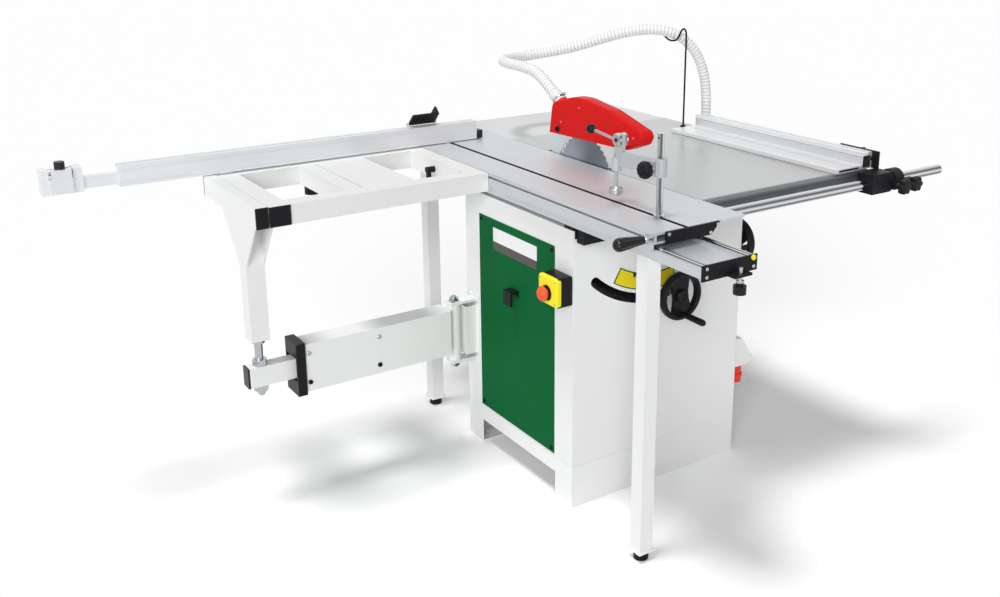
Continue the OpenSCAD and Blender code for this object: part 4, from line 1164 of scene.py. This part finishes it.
@dataclass
class BladeGuard:
    """Red moulded guard: a hollow shell with rounded rims, spout, bolts and screws."""

    half: float = 0.022
    wall: float = 0.0035
    rim: float = 0.0065
    plane: float = -0.018
    bend: float = 0.016
    nose_bend: float = 0.006
    nose_y: float = -0.2
    bottom: tuple[Pair, Pair] = ((0.2095, 0.9352), (-0.1545, 0.947))
    outline: tuple[Pair, ...] = (
        (0.213, 0.935), (0.198, 1.027), (0.162, 1.038), (0.089, 1.057), (0.040, 1.058), (-0.083, 1.042),
        (-0.217, 1.006), (-0.226, 0.990), (-0.214, 0.969), (-0.158, 0.947),
    )

    def path(self) -> np.ndarray:
        """The outline from its rear foot over the top to its front foot, with rounded corners.

        Returns:
            Points (n, 2).
        """
        corners = np.array(self.outline)
        a, p, c = corners[:-2], corners[1:-1], corners[2:]
        radius = np.where(p[:, 0] < self.nose_y, self.nose_bend, self.bend)
        return np.vstack([corners[:1], bends(a, p, c, radius, 0.45, 7), corners[-1:]])

    def shell(self) -> Piece:
        """Side walls run straight from the rim to the open bottom; the rim is a quarter round on each side.

        Returns:
            The shell.
        """
        path = self.path()
        run = unit(np.gradient(path, axis=0))
        inward = np.stack([-run[:, 1], run[:, 0]], -1)
        share = np.linspace(0, 1, len(path))[:, None]
        foot = (1 - share) * np.array(self.bottom[0]) + share * np.array(self.bottom[1])

        def row(x: float, inset: float, down: float) -> np.ndarray:
            """The row at x, inset from the outline and moved by a share towards the bottom."""
            line = (1 - down) * (path + inset * inward) + down * foot
            return raise_outline(line, Axis.X, self.plane + x)

        turn = np.linspace(0, math.pi / 2, 6)
        insets = self.rim * (1 - np.sin(turn))
        across = self.half - self.rim * (1 - np.cos(turn))
        inner = self.half - self.wall
        rows = [row(-self.half, self.rim, down) for down in (1.0, 0.66, 0.33)]
        rows += [row(-x, inset, 0.0) for x, inset in zip(across, insets)]
        rows += [row(x, inset, 0.0) for x, inset in zip(across[::-1], insets[::-1])]
        rows += [row(self.half, self.rim, down) for down in (0.33, 0.66, 1.0)]
        rows += [row(inner, self.wall, down) for down in (1.0, 0.5, 0.0)]
        rows += [row(-inner, self.wall, down) for down in (0.0, 0.5, 1.0)]
        return grid_mesh("guard_shell", np.array(rows).transpose(1, 0, 2), caps=True)

    def build(self) -> list[Piece]:
        """Builds shell, spout, side bolts and screws.

        Returns:
            The pieces.
        """
        spout = [(-0.012, 0.0125), (-0.012, 0.0215), (0.002, 0.0210), (0.005, 0.0165), (0.039, 0.0160),
                 (0.040, 0.0155), (0.040, 0.0125)]
        made = [
            fit(self.shell(), RED_PLASTIC, "rise_unit", "guard"),
            fit(ring("guard_spout", spout, SPOUT_MOUTH, SPOUT_AIM), RED_PLASTIC, "rise_unit"),
        ]
        for tag, side in (("left", -1.0), ("right", 1.0)):
            face = self.plane + side * self.half
            out = (side, 0, 0)
            bolt = heads(f"guard_bolt_{tag}", [(face, 0.166, 0.952)], out, 0.0085, 0.006, 0.45, 30)
            spots = [(face, 0.150, 0.975), (face, -0.188, 0.985), (face, 0.060, 1.03)]
            screws = heads(f"guard_screws_{tag}", spots, out, 0.0026, 0.0012)
            made += [fit(bolt, BLACK_PLASTIC, "rise_unit"), fit(screws, ZINC_PLATE, "rise_unit")]
        return made


@dataclass
class SawBlade:
    """Toothed blade: each tooth rises slowly to its tip and drops steeply into the next gullet."""

    centre: Point = BLADE_CENTRE
    radius: float = 0.1275
    bore: float = 0.009
    half: float = 0.0014
    teeth: int = 40
    gullet: float = 0.0085
    place: tuple[float, ...] = (0.0, 0.20, 0.50, 0.78, 0.86, 0.93)
    short: tuple[float, ...] = (1.0, 0.72, 0.30, 0.06, 0.0, 0.80)

    def build(self) -> list[Piece]:
        """Builds the blade as four rings: bore and teeth on one side, teeth and bore on the other.

        At each place along a tooth the radius falls short of the tip's by a share of the gullet.

        Returns:
            The blade.
        """
        turn = 2 * math.pi / self.teeth * (np.arange(self.teeth)[:, None] + np.array(self.place)).ravel()
        tips = np.tile(self.radius - self.gullet * np.array(self.short), self.teeth)
        round_once = np.stack([np.cos(turn), np.sin(turn)], -1)
        sides = ((-self.half, self.bore), (-self.half, tips), (self.half, tips), (self.half, self.bore))
        rows = [raise_outline(round_once * np.reshape(far, (-1, 1)), Axis.X, x) for x, far in sides]
        blade = grid_mesh("saw_disc", np.array(self.centre) + np.array(rows), close_u=True)
        return [fit(blade, BLADE_STEEL, "arbor_spin", "saw_blade")]


@dataclass
class HoseHook:
    """Black wire hook: up from its foot on the table, over in a small arch and under the hose."""

    radius: float = 0.003
    points: int = 160
    foot: Point = (0.545, 0.277, 0.870)
    route: tuple[Point, ...] = (
        (0.545, 0.277, 0.871), (0.545, 0.277, 0.95), (0.545, 0.277, 1.03), (0.545, 0.277, 1.11),
        (0.545, 0.277, 1.165), (0.543, 0.277, 1.186), (0.535, 0.278, 1.196), (0.526, 0.280, 1.190),
        (0.521, 0.284, 1.174), (0.519, 0.294, 1.161), (0.518, 0.310, 1.1565), (0.518, 0.328, 1.1565),
        (0.517, 0.346, 1.164), (0.517, 0.356, 1.172),
    )

    def build(self) -> list[Piece]:
        """Builds the wire with a rounded tip, and its foot.

        Returns:
            The pieces.
        """
        path = smooth_path(np.array(self.route), self.points)
        thick = np.full(self.points, self.radius)
        thick[-3:] = self.radius * np.array((0.9, 0.65, 0.2))
        wire = grid_mesh("hook_wire", tube_points(path, thick, 16), caps=True)
        nut = [(0.0, 0.0), (0.0, 0.012), (0.002, 0.012), (0.003, 0.0095), (0.008, 0.009),
               (0.0085, 0.008), (0.0085, 0.0)]
        return [
            fit(wire, BLACK_PAINT, "machine", "hose_hook"),
            fit(lathe("hook_foot", nut, self.foot, (0, 0, 1)), BLACK_PAINT, "machine"),
        ]


@dataclass
class Handwheel:
    """Dished black handwheel with two crescent openings, a hub, a crank handle and its steel shaft."""

    name: str
    node: str
    body: str
    hub: Point
    face: Point
    crank: Point
    shaft: tuple[Pair, ...]
    rim: float = 0.069

    def grow(self, name: str, points: np.ndarray, finish: Finish, **how: bool) -> Piece:
        """Makes one piece of the wheel.

        Args:
            name: last part of its name.
            points: grid of points in the wheel's own axes: crank, across and face.
            finish: its finish.
            how: how the grid closes.

        Returns:
            The piece, which rides on the wheel's body.
        """
        face, crank = np.array(self.face), np.array(self.crank)
        placed = np.array(self.hub) + points @ np.stack([crank, np.cross(face, crank), face])
        return fit(grid_mesh(f"{self.name}_{name}", placed, **how), finish, self.body)

    def build(self) -> list[Piece]:
        """Builds rim, web, hub, handle and shaft; the rim's section is a squarish round.

        Returns:
            The pieces.
        """
        r = self.rim
        start, out = (0, 0, 0), (0, 0, 1)
        turn = circle(20)
        deep = 0.012 + 0.0115 * np.sign(np.sin(turn)) * np.abs(np.sin(turn)) ** 0.7
        wide = r - 0.008 + 0.008 * np.sign(np.cos(turn)) * np.abs(np.cos(turn)) ** 0.7
        section = list(zip(deep.tolist(), wide.tolist()))
        side, end, waist = r - 0.011, r - 0.006, 0.024
        corners = [(-side, -0.036), (0.0, -waist), (side, -0.036), (end, 0.0),
                   (side, 0.036), (0.0, waist), (-side, 0.036), (-end, 0.0)]
        outline = fillet(np.array(corners), 0.012)
        levels = ((0.96, 0.005), (1.0, 0.007), (1.0, 0.014), (0.96, 0.016))
        web = np.array([raise_outline(outline * share, Axis.Z, z) for share, z in levels])
        hub = [(0, 0), (0, 0.018), (0.003, 0.020), (0.023, 0.020), (0.026, 0.017), (0.026, 0.008),
               (0.024, 0.007), (0.024, 0)]
        grip = [(0.010, 0), (0.010, 0.006), (0.022, 0.006), (0.023, 0.0082), (0.040, 0.0086),
                (0.095, 0.0095), (0.101, 0.0086), (0.105, 0.0062), (0.107, 0.0030), (0.1075, 0)]
        made = [
            self.grow("rim", turned(section, start, out, 72), BLACK_PLASTIC, close_u=True),
            self.grow("web", web, BLACK_PLASTIC, caps=True),
            self.grow("hub", turned(hub, start, out), BLACK_PLASTIC),
            self.grow("handle", turned(grip, (r - 0.016, 0, 0), out), BLACK_PLASTIC),
            self.grow("shaft", turned(self.shaft, start, (0, 0, -1)), STEEL),
        ]
        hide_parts(self.node)
        return made


@dataclass
class SwitchBox:
    """Black housing with a rounded yellow cover, a black ring and a red mushroom button."""

    axis: Point = (-0.339, -0.227, 0.622)
    face_x: float = -0.347

    def build(self) -> list[Piece]:
        """Builds cover, screws, housing, ring and button.

        Returns:
            The pieces.
        """
        out = (-1, 0, 0)
        shape = fillet(box((-0.272, 0.590), (-0.188, 0.668)), 0.011)
        cover = slab("switch_cover_shell", shape, Axis.X, self.face_x, -0.330, 0.0045, 6)
        shape = fillet(box((-0.270, 0.588), (-0.190, 0.668)), 0.006)
        housing = slab("switch_housing", shape, Axis.X, -0.3395, -0.2952, 0.002)
        corners = [(self.face_x, y, z) for y in (-0.263, -0.197) for z in (0.599, 0.659)]
        collar = [(0.006, 0.012), (0.006, 0.021), (0.0080, 0.0215), (0.0098, 0.019), (0.0098, 0.012)]
        cap = [(0.0, 0.0), (0.0, 0.0099), (0.0165, 0.0099), (0.0175, 0.019), (0.0195, 0.0205),
               (0.0245, 0.0200), (0.0285, 0.0165), (0.0298, 0.0095), (0.030, 0.0)]
        return [
            fit(cover, YELLOW_PLASTIC, "machine", "switch_cover"),
            fit(heads("switch_screws", corners, out, 0.0026, 0.001), ZINC_PLATE, "machine"),
            fit(housing, BLACK_PLASTIC, "machine", "switch_base"),
            fit(ring("switch_ring", collar, self.axis, out), BLACK_PLASTIC, "machine"),
            fit(lathe("stop_mushroom", cap, self.axis, out), SIGNAL_RED, "button", "stop_button"),
        ]


@dataclass
class PushHandle:
    """Glossy black grip, thicker towards its round end, on a zinc collar before the sliding table."""

    start: Point = (-0.316, -0.589, 0.855)
    end_radius: float = 0.0165

    def build(self) -> list[Piece]:
        """Builds grip and collar; the grip's end is half a ball.

        Returns:
            The pieces.
        """
        grip = [(0.0115, 0), (0.0115, 0.0096), (0.018, 0.0106), (0.035, 0.0122), (0.055, 0.0146),
                (0.070, 0.0160), *dome(0.080, self.end_radius, np.linspace(0, math.pi / 2, 8))]
        collar = [(0, 0), (0, 0.0085), (0.004, 0.0085), (0.005, 0.0109), (0.011, 0.0109),
                  (0.0122, 0.0100), (0.0122, 0)]
        out = (-1, 0, 0)
        handle = lathe("push_grip", grip, self.start, out, sides=72, flutes=9, cut=0.08)
        return [
            fit(handle, GLOSS_BLACK, "slide_unit", "push_handle"),
            fit(lathe("push_collar", collar, self.start, out), ZINC_PLATE, "slide_unit"),
        ]


@dataclass
class HoldDown:
    """Clamp details: fluted knob, cam with rod and ball, and a cup-shaped pad."""

    x: float = -0.212
    post_y: float = -0.505
    arm_z: float = 0.992
    pad_y: float = -0.337
    lean: float = 6.0

    def build(self) -> list[Piece]:
        """Builds knob, stud, cam, rod, ball and pad.

        Returns:
            The pieces.
        """
        shape = lobes((self.post_y, self.arm_z), 0.0215, 0.0016, 10, 200)
        knob = slab("clamp_grip", shape, Axis.X, self.x - 0.060, self.x - 0.034, 0.010, 8)
        stud = [(-0.012, 0), (-0.012, 0.005), (-0.027, 0.005), (-0.027, 0.009), (-0.0345, 0.009),
                (-0.0345, 0)]
        post, right = (self.x, self.post_y, self.arm_z), (1, 0, 0)
        y, z = self.pad_y - 0.014, self.arm_z + 0.040
        made = [
            fit(knob, BLACK_PLASTIC, "clamp_screw", "clamp_knob"),
            fit(lathe("clamp_stud", stud, post, right), ZINC_PLATE, "clamp_screw"),
        ]
        for name, low in (("left", -0.014), ("right", 0.006)):
            cheek = [(low, 0), (low, 0.0145), (low + 0.0012, 0.016), (low + 0.0068, 0.016),
                     (low + 0.008, 0.0145), (low + 0.008, 0)]
            made.append(fit(lathe(f"cam_cheek_{name}", cheek, (self.x, y, z), right), BRIGHT_STEEL, "cam"))
        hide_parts("cam_lever")
        pin = [(-0.0155, 0), (-0.0155, 0.0045), (-0.0145, 0.005), (0.0145, 0.005), (0.0155, 0.0045),
               (0.0155, 0)]
        rod = [(0.0, 0), (0.0, 0.0036), (0.092, 0.0036), (0.092, 0)]
        turn = np.linspace(-0.95, math.pi / 2, 14)
        ball = [(0.082, 0), (0.082, 0.0055), (0.0845, 0.0065), *dome(0.0965, 0.013, turn)]
        pad = [(0.892, 0), (0.892, 0.0165), (0.8935, 0.018), (0.9045, 0.018), (0.906, 0.0165),
               (0.906, 0.014), (0.900, 0.013), (0.900, 0.0075), (0.909, 0.0065), (0.911, 0.005),
               (0.990, 0.005), (0.990, 0)]
        root = (self.x - 0.010, y + 0.012, z)
        rise = math.radians(self.lean)
        back = (0.0, math.cos(rise), math.sin(rise))
        low = (self.x, self.pad_y, 0.0)
        return made + [
            fit(lathe("cam_pin", pin, (self.x, y, z), right), BLACK_PLASTIC, "cam"),
            fit(lathe("cam_rod", rod, root, back), BRIGHT_STEEL, "cam"),
            fit(lathe("cam_ball", ball, root, back), BLACK_PLASTIC, "cam"),
            fit(lathe("clamp_foot", pad, low, (0, 0, 1)), ZINC_PLATE, "pad", "clamp_pad"),
        ]


@dataclass
class FenceHead:
    """Rip fence carrier details: two star knobs before the round bar and the fence's own knob."""

    knob_z: float = 0.830
    fine_x: float = 0.694
    bar_x: float = 0.638
    lock: Pair = (-0.398, 0.897)

    def star(self, name: str, x: float, front: float, foot: float, body: str, node: str) -> list[Piece]:
        """Builds a six-lobed knob on its stem.

        Args:
            name: name of the knob.
            x: place along the bar.
            front: y of the knob's front face.
            foot: y of the stem's end in the carrier.
            body: the body that they ride on.
            node: the CAD node that the knob stands for.

        Returns:
            The knob and the stem.
        """
        shape = lobes((x, self.knob_z), 0.022, 0.005, 6, 144)
        knob = slab(name, shape, Axis.Y, front, front + 0.022, 0.005, 6)
        reach = foot - front - 0.021
        neck = reach - 0.007
        stem = [(0.0, 0), (0.0, 0.0048), (neck, 0.0048), (neck, 0.009), (reach, 0.009), (reach, 0)]
        return [
            fit(knob, BLACK_PLASTIC, body, node),
            fit(lathe(f"{name}_stem", stem, (x, foot, self.knob_z), (0, -1, 0)), ZINC_PLATE, body),
        ]

    def build(self) -> list[Piece]:
        """Builds the two star knobs and the fence knob.

        Returns:
            The pieces.
        """
        shape = lobes(self.lock, 0.0205, 0.004, 7, 140)
        lock = slab("fence_grip", shape, Axis.X, 0.620, 0.640, 0.004, 5)
        shank = [(0.603, 0), (0.603, 0.005), (0.616, 0.005), (0.616, 0.009), (0.621, 0.009), (0.621, 0)]
        return [
            *self.star("fine_knob", self.fine_x, -0.554, -0.505, "fine_lock", "carrier_knob"),
            *self.star("bar_grip", self.bar_x, -0.560, -0.510, "bar_lock", "bar_knob"),
            fit(lock, BLACK_PLASTIC, "rip_lock", "fence_knob"),
            fit(lathe("fence_shank", shank, (0, *self.lock), (1, 0, 0)), ZINC_PLATE, "rip_lock"),
        ]


@dataclass(frozen=True)
class ScrewRow:
    """A row of like screws: their places, the way they face, their size, their body and their colour."""

    name: str
    spots: tuple[Point, ...]
    along: Point
    radius: float
    height: float
    body: str
    black: bool = False


def spread(*ranges: tuple[float, ...]) -> tuple[Point, ...]:
    """Every point with its x, y and z from three short ranges."""
    return tuple(product(*ranges))


@dataclass
class Fasteners:
    """Screws and bolts that hold plates and arms, and the yellow cap on the right rod."""

    cap: Point = (-0.157, -0.767, 0.831)

    def rows(self) -> list[ScrewRow]:
        """Lists the rows of screws.

        Returns:
            The rows, in the order in which they are built.
        """
        front, rear, left, down = (0, -1, 0), (0, 1, 0), (-1, 0, 0), (0, 0, -1)
        plate = ((-0.268, 0.863), (-0.118, 0.863), (-0.140, 0.846))
        made = []
        for tail, y, way in (("", -0.608, front), ("_rear", 0.702, rear)):
            spots = tuple((x, y, z) for x, z in plate)
            made.append(ScrewRow(f"table_plate_screws{tail}", spots, way, 0.0045, 0.003, "slide_unit"))
        for name, z, black in (("upper", 0.420, False), ("lower", 0.336, True)):
            spots = spread((-0.836, -0.628), (0.197,), (z,))
            made.append(ScrewRow(f"arm_bolts_{name}", spots, front, 0.0065, 0.004, "arm_outer", black))
        under = spread((-0.275, -0.245, -0.190), (-0.292,), (0.760,))
        made.append(ScrewRow("bracket_bolts", under, down, 0.0055, 0.0045, "machine"))
        one = ((-0.262, -0.307, 0.779),)
        made.append(ScrewRow("bracket_screw", one, front, 0.005, 0.003, "machine", True))
        for name, y, way in (("front", -0.767, front), ("rear", 0.741, rear)):
            spots = spread((-0.295, -0.155), (y,), (0.810, 0.829))
            made.append(ScrewRow(f"beam_screws_{name}", spots, way, 0.0042, 0.003, "machine"))
        cover = spread((-0.297,), (-0.177, 0.181), (0.142, 0.716))
        leg = spread((-0.936,), (0.222,), (0.535, 0.510))
        return made + [
            ScrewRow("cover_screws", cover, left, 0.006, 0.0032, "machine", True),
            ScrewRow("leg_bolts", leg, (1, 0, 0), 0.005, 0.004, "slide_unit", True),
        ]

    def build(self) -> list[Piece]:
        """Builds each row of heads and the cap.

        Returns:
            The pieces.
        """
        made = []
        for row in self.rows():
            piece = heads(row.name, row.spots, row.along, row.radius, row.height)
            made.append(fit(piece, BLACK_PLASTIC if row.black else ZINC_PLATE, row.body))
        cap = [(0.0, 0.0), (0.0, 0.0062), (0.004, 0.0062), (0.0052, 0.0050), (0.0056, 0.0)]
        made.append(fit(lathe("rod_cap", cap, self.cap, (0, -1, 0)), YELLOW_PLASTIC, "machine"))
        return made


# Studio


@dataclass
class Studio:
    """Pale floor, soft even light, white backdrop and the camera of the photograph's viewpoint."""

    eye: Point = (-1.8473, -2.4310, 1.5975)
    yaw: float = 0.596
    pitch: float = -0.281
    lens: float = 39.44
    sensor: float = 36.0
    shift: Pair = (-0.0449, -0.0823)
    half: float = 40.0
    ambient: float = 0.20

    def build(self) -> None:
        """Adds floor, world, lamps and camera."""
        self.floor()
        self.world()
        self.sun("key", (-3.4, -3.5, 1.9), 1.75, 30.0)
        self.sun("overhead", (-0.9, 0.1, 4.0), 1.8, 14.0)
        self.camera()

    def floor(self) -> None:
        """Adds a wide pale floor that keeps the shadow."""
        edge = (-self.half, self.half)
        corners = np.array([[(x, y, 0.0) for x in edge] for y in edge])
        made = grid_mesh("studio_floor", corners, close_v=False)
        dress(made, FLOOR)

    def world(self) -> None:
        """Makes the world white to the camera and to mirrors, and softer as a light."""
        world = bpy.data.worlds.new("studio_world")
        world.use_nodes = True
        g = Graph(world.node_tree)
        soft = g.node("ShaderNodeBackground", {"Color": (0.97, 0.98, 1.0, 1.0), "Strength": self.ambient})
        pale = g.node("ShaderNodeBackground", {"Color": (1.0, 1.0, 1.0, 1.0), "Strength": 1.0})
        mixed = g.node("ShaderNodeMixShader", {0: g.seen(), 1: soft.outputs[0], 2: pale.outputs[0]})
        g.node("ShaderNodeOutputWorld", {"Surface": mixed.outputs[0]})
        bpy.context.scene.world = world

    def sun(self, name: str, source: Point, strength: float, angle: float) -> None:
        """Adds an even soft light from afar.

        Args:
            name: name of the lamp.
            source: a point that the light comes from, seen from the origin.
            strength: watts for each square metre.
            angle: apparent width, in degrees, which softens the shadow.
        """
        light = bpy.data.lights.new(name, "SUN")
        light.energy = strength
        light.angle = math.radians(angle)
        made = bpy.data.objects.new(name, light)
        made.location = source
        made.rotation_euler = (-Vector(source)).to_track_quat("-Z", "Y").to_euler()
        bpy.context.scene.collection.objects.link(made)

    def camera(self) -> None:
        """Places the camera from its yaw and pitch."""
        data = bpy.data.cameras.new("camera")
        data.sensor_width = self.sensor
        data.lens = self.lens
        data.shift_x, data.shift_y = self.shift
        made = bpy.data.objects.new("camera", data)
        level = math.cos(self.pitch)
        ahead = Vector((math.sin(self.yaw) * level, math.cos(self.yaw) * level, math.sin(self.pitch)))
        right = ahead.cross(Vector((0, 0, 1))).normalized()
        turn = Matrix((right, right.cross(ahead), -ahead)).transposed().to_4x4()
        made.matrix_world = Matrix.Translation(self.eye) @ turn
        bpy.context.scene.collection.objects.link(made)
        bpy.context.scene.camera = made


def shaft(radius: float, step: float, end: float, wide: float) -> tuple[Pair, ...]:
    """Profile of a shaft that starts in its wheel and is wider from the step to its end."""
    return ((-0.002, 0), (-0.002, radius), (step, radius), (step, wide), (end, wide), (end, 0))


def handwheels() -> list[Handwheel]:
    """Lists the rise wheel at the front and the tilt wheel at the right.

    Returns:
        The wheels, still to be built.
    """
    low, side = math.radians(-84), math.radians(35)
    rise_crank = (math.cos(low), 0, math.sin(low))
    tilt_crank = (0, math.sin(side), -math.cos(side))
    rise_hub, tilt_hub = (0.030495, -0.307, 0.563816), (0.309, -0.225, 0.647)
    rise_shaft, tilt_shaft = shaft(0.009, 0.243, 0.257, 0.010), shaft(0.008, 0.287, 0.367, 0.014)
    return [
        Handwheel("rise", "rise_wheel", "rise_drive", rise_hub, (0, -1, 0), rise_crank, rise_shaft),
        Handwheel("tilt", "tilt_wheel", "tilt_drive", tilt_hub, (1, 0, 0), tilt_crank, tilt_shaft),
    ]


def main() -> None:
    """Dresses the nodes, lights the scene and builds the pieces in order."""
    logging.basicConfig(level=logging.INFO)
    bpy.context.scene.view_settings.view_transform = "Standard"
    chosen = node_finishes()
    for name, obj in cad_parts.items():
        dress(obj, chosen.get(name, WHITE_PAINT))
    Studio().build()
    makers = [DustHose(), HoseHook(), BladeGuard(), SawBlade(), *handwheels(), SwitchBox(), PushHandle(),
              HoldDown(), FenceHead(), Fasteners()]
    for maker in makers:
        for piece in maker.build():
            LOG.info("%s: %s", type(maker).__name__, piece.name)


if __name__ == "__main__":
    main()
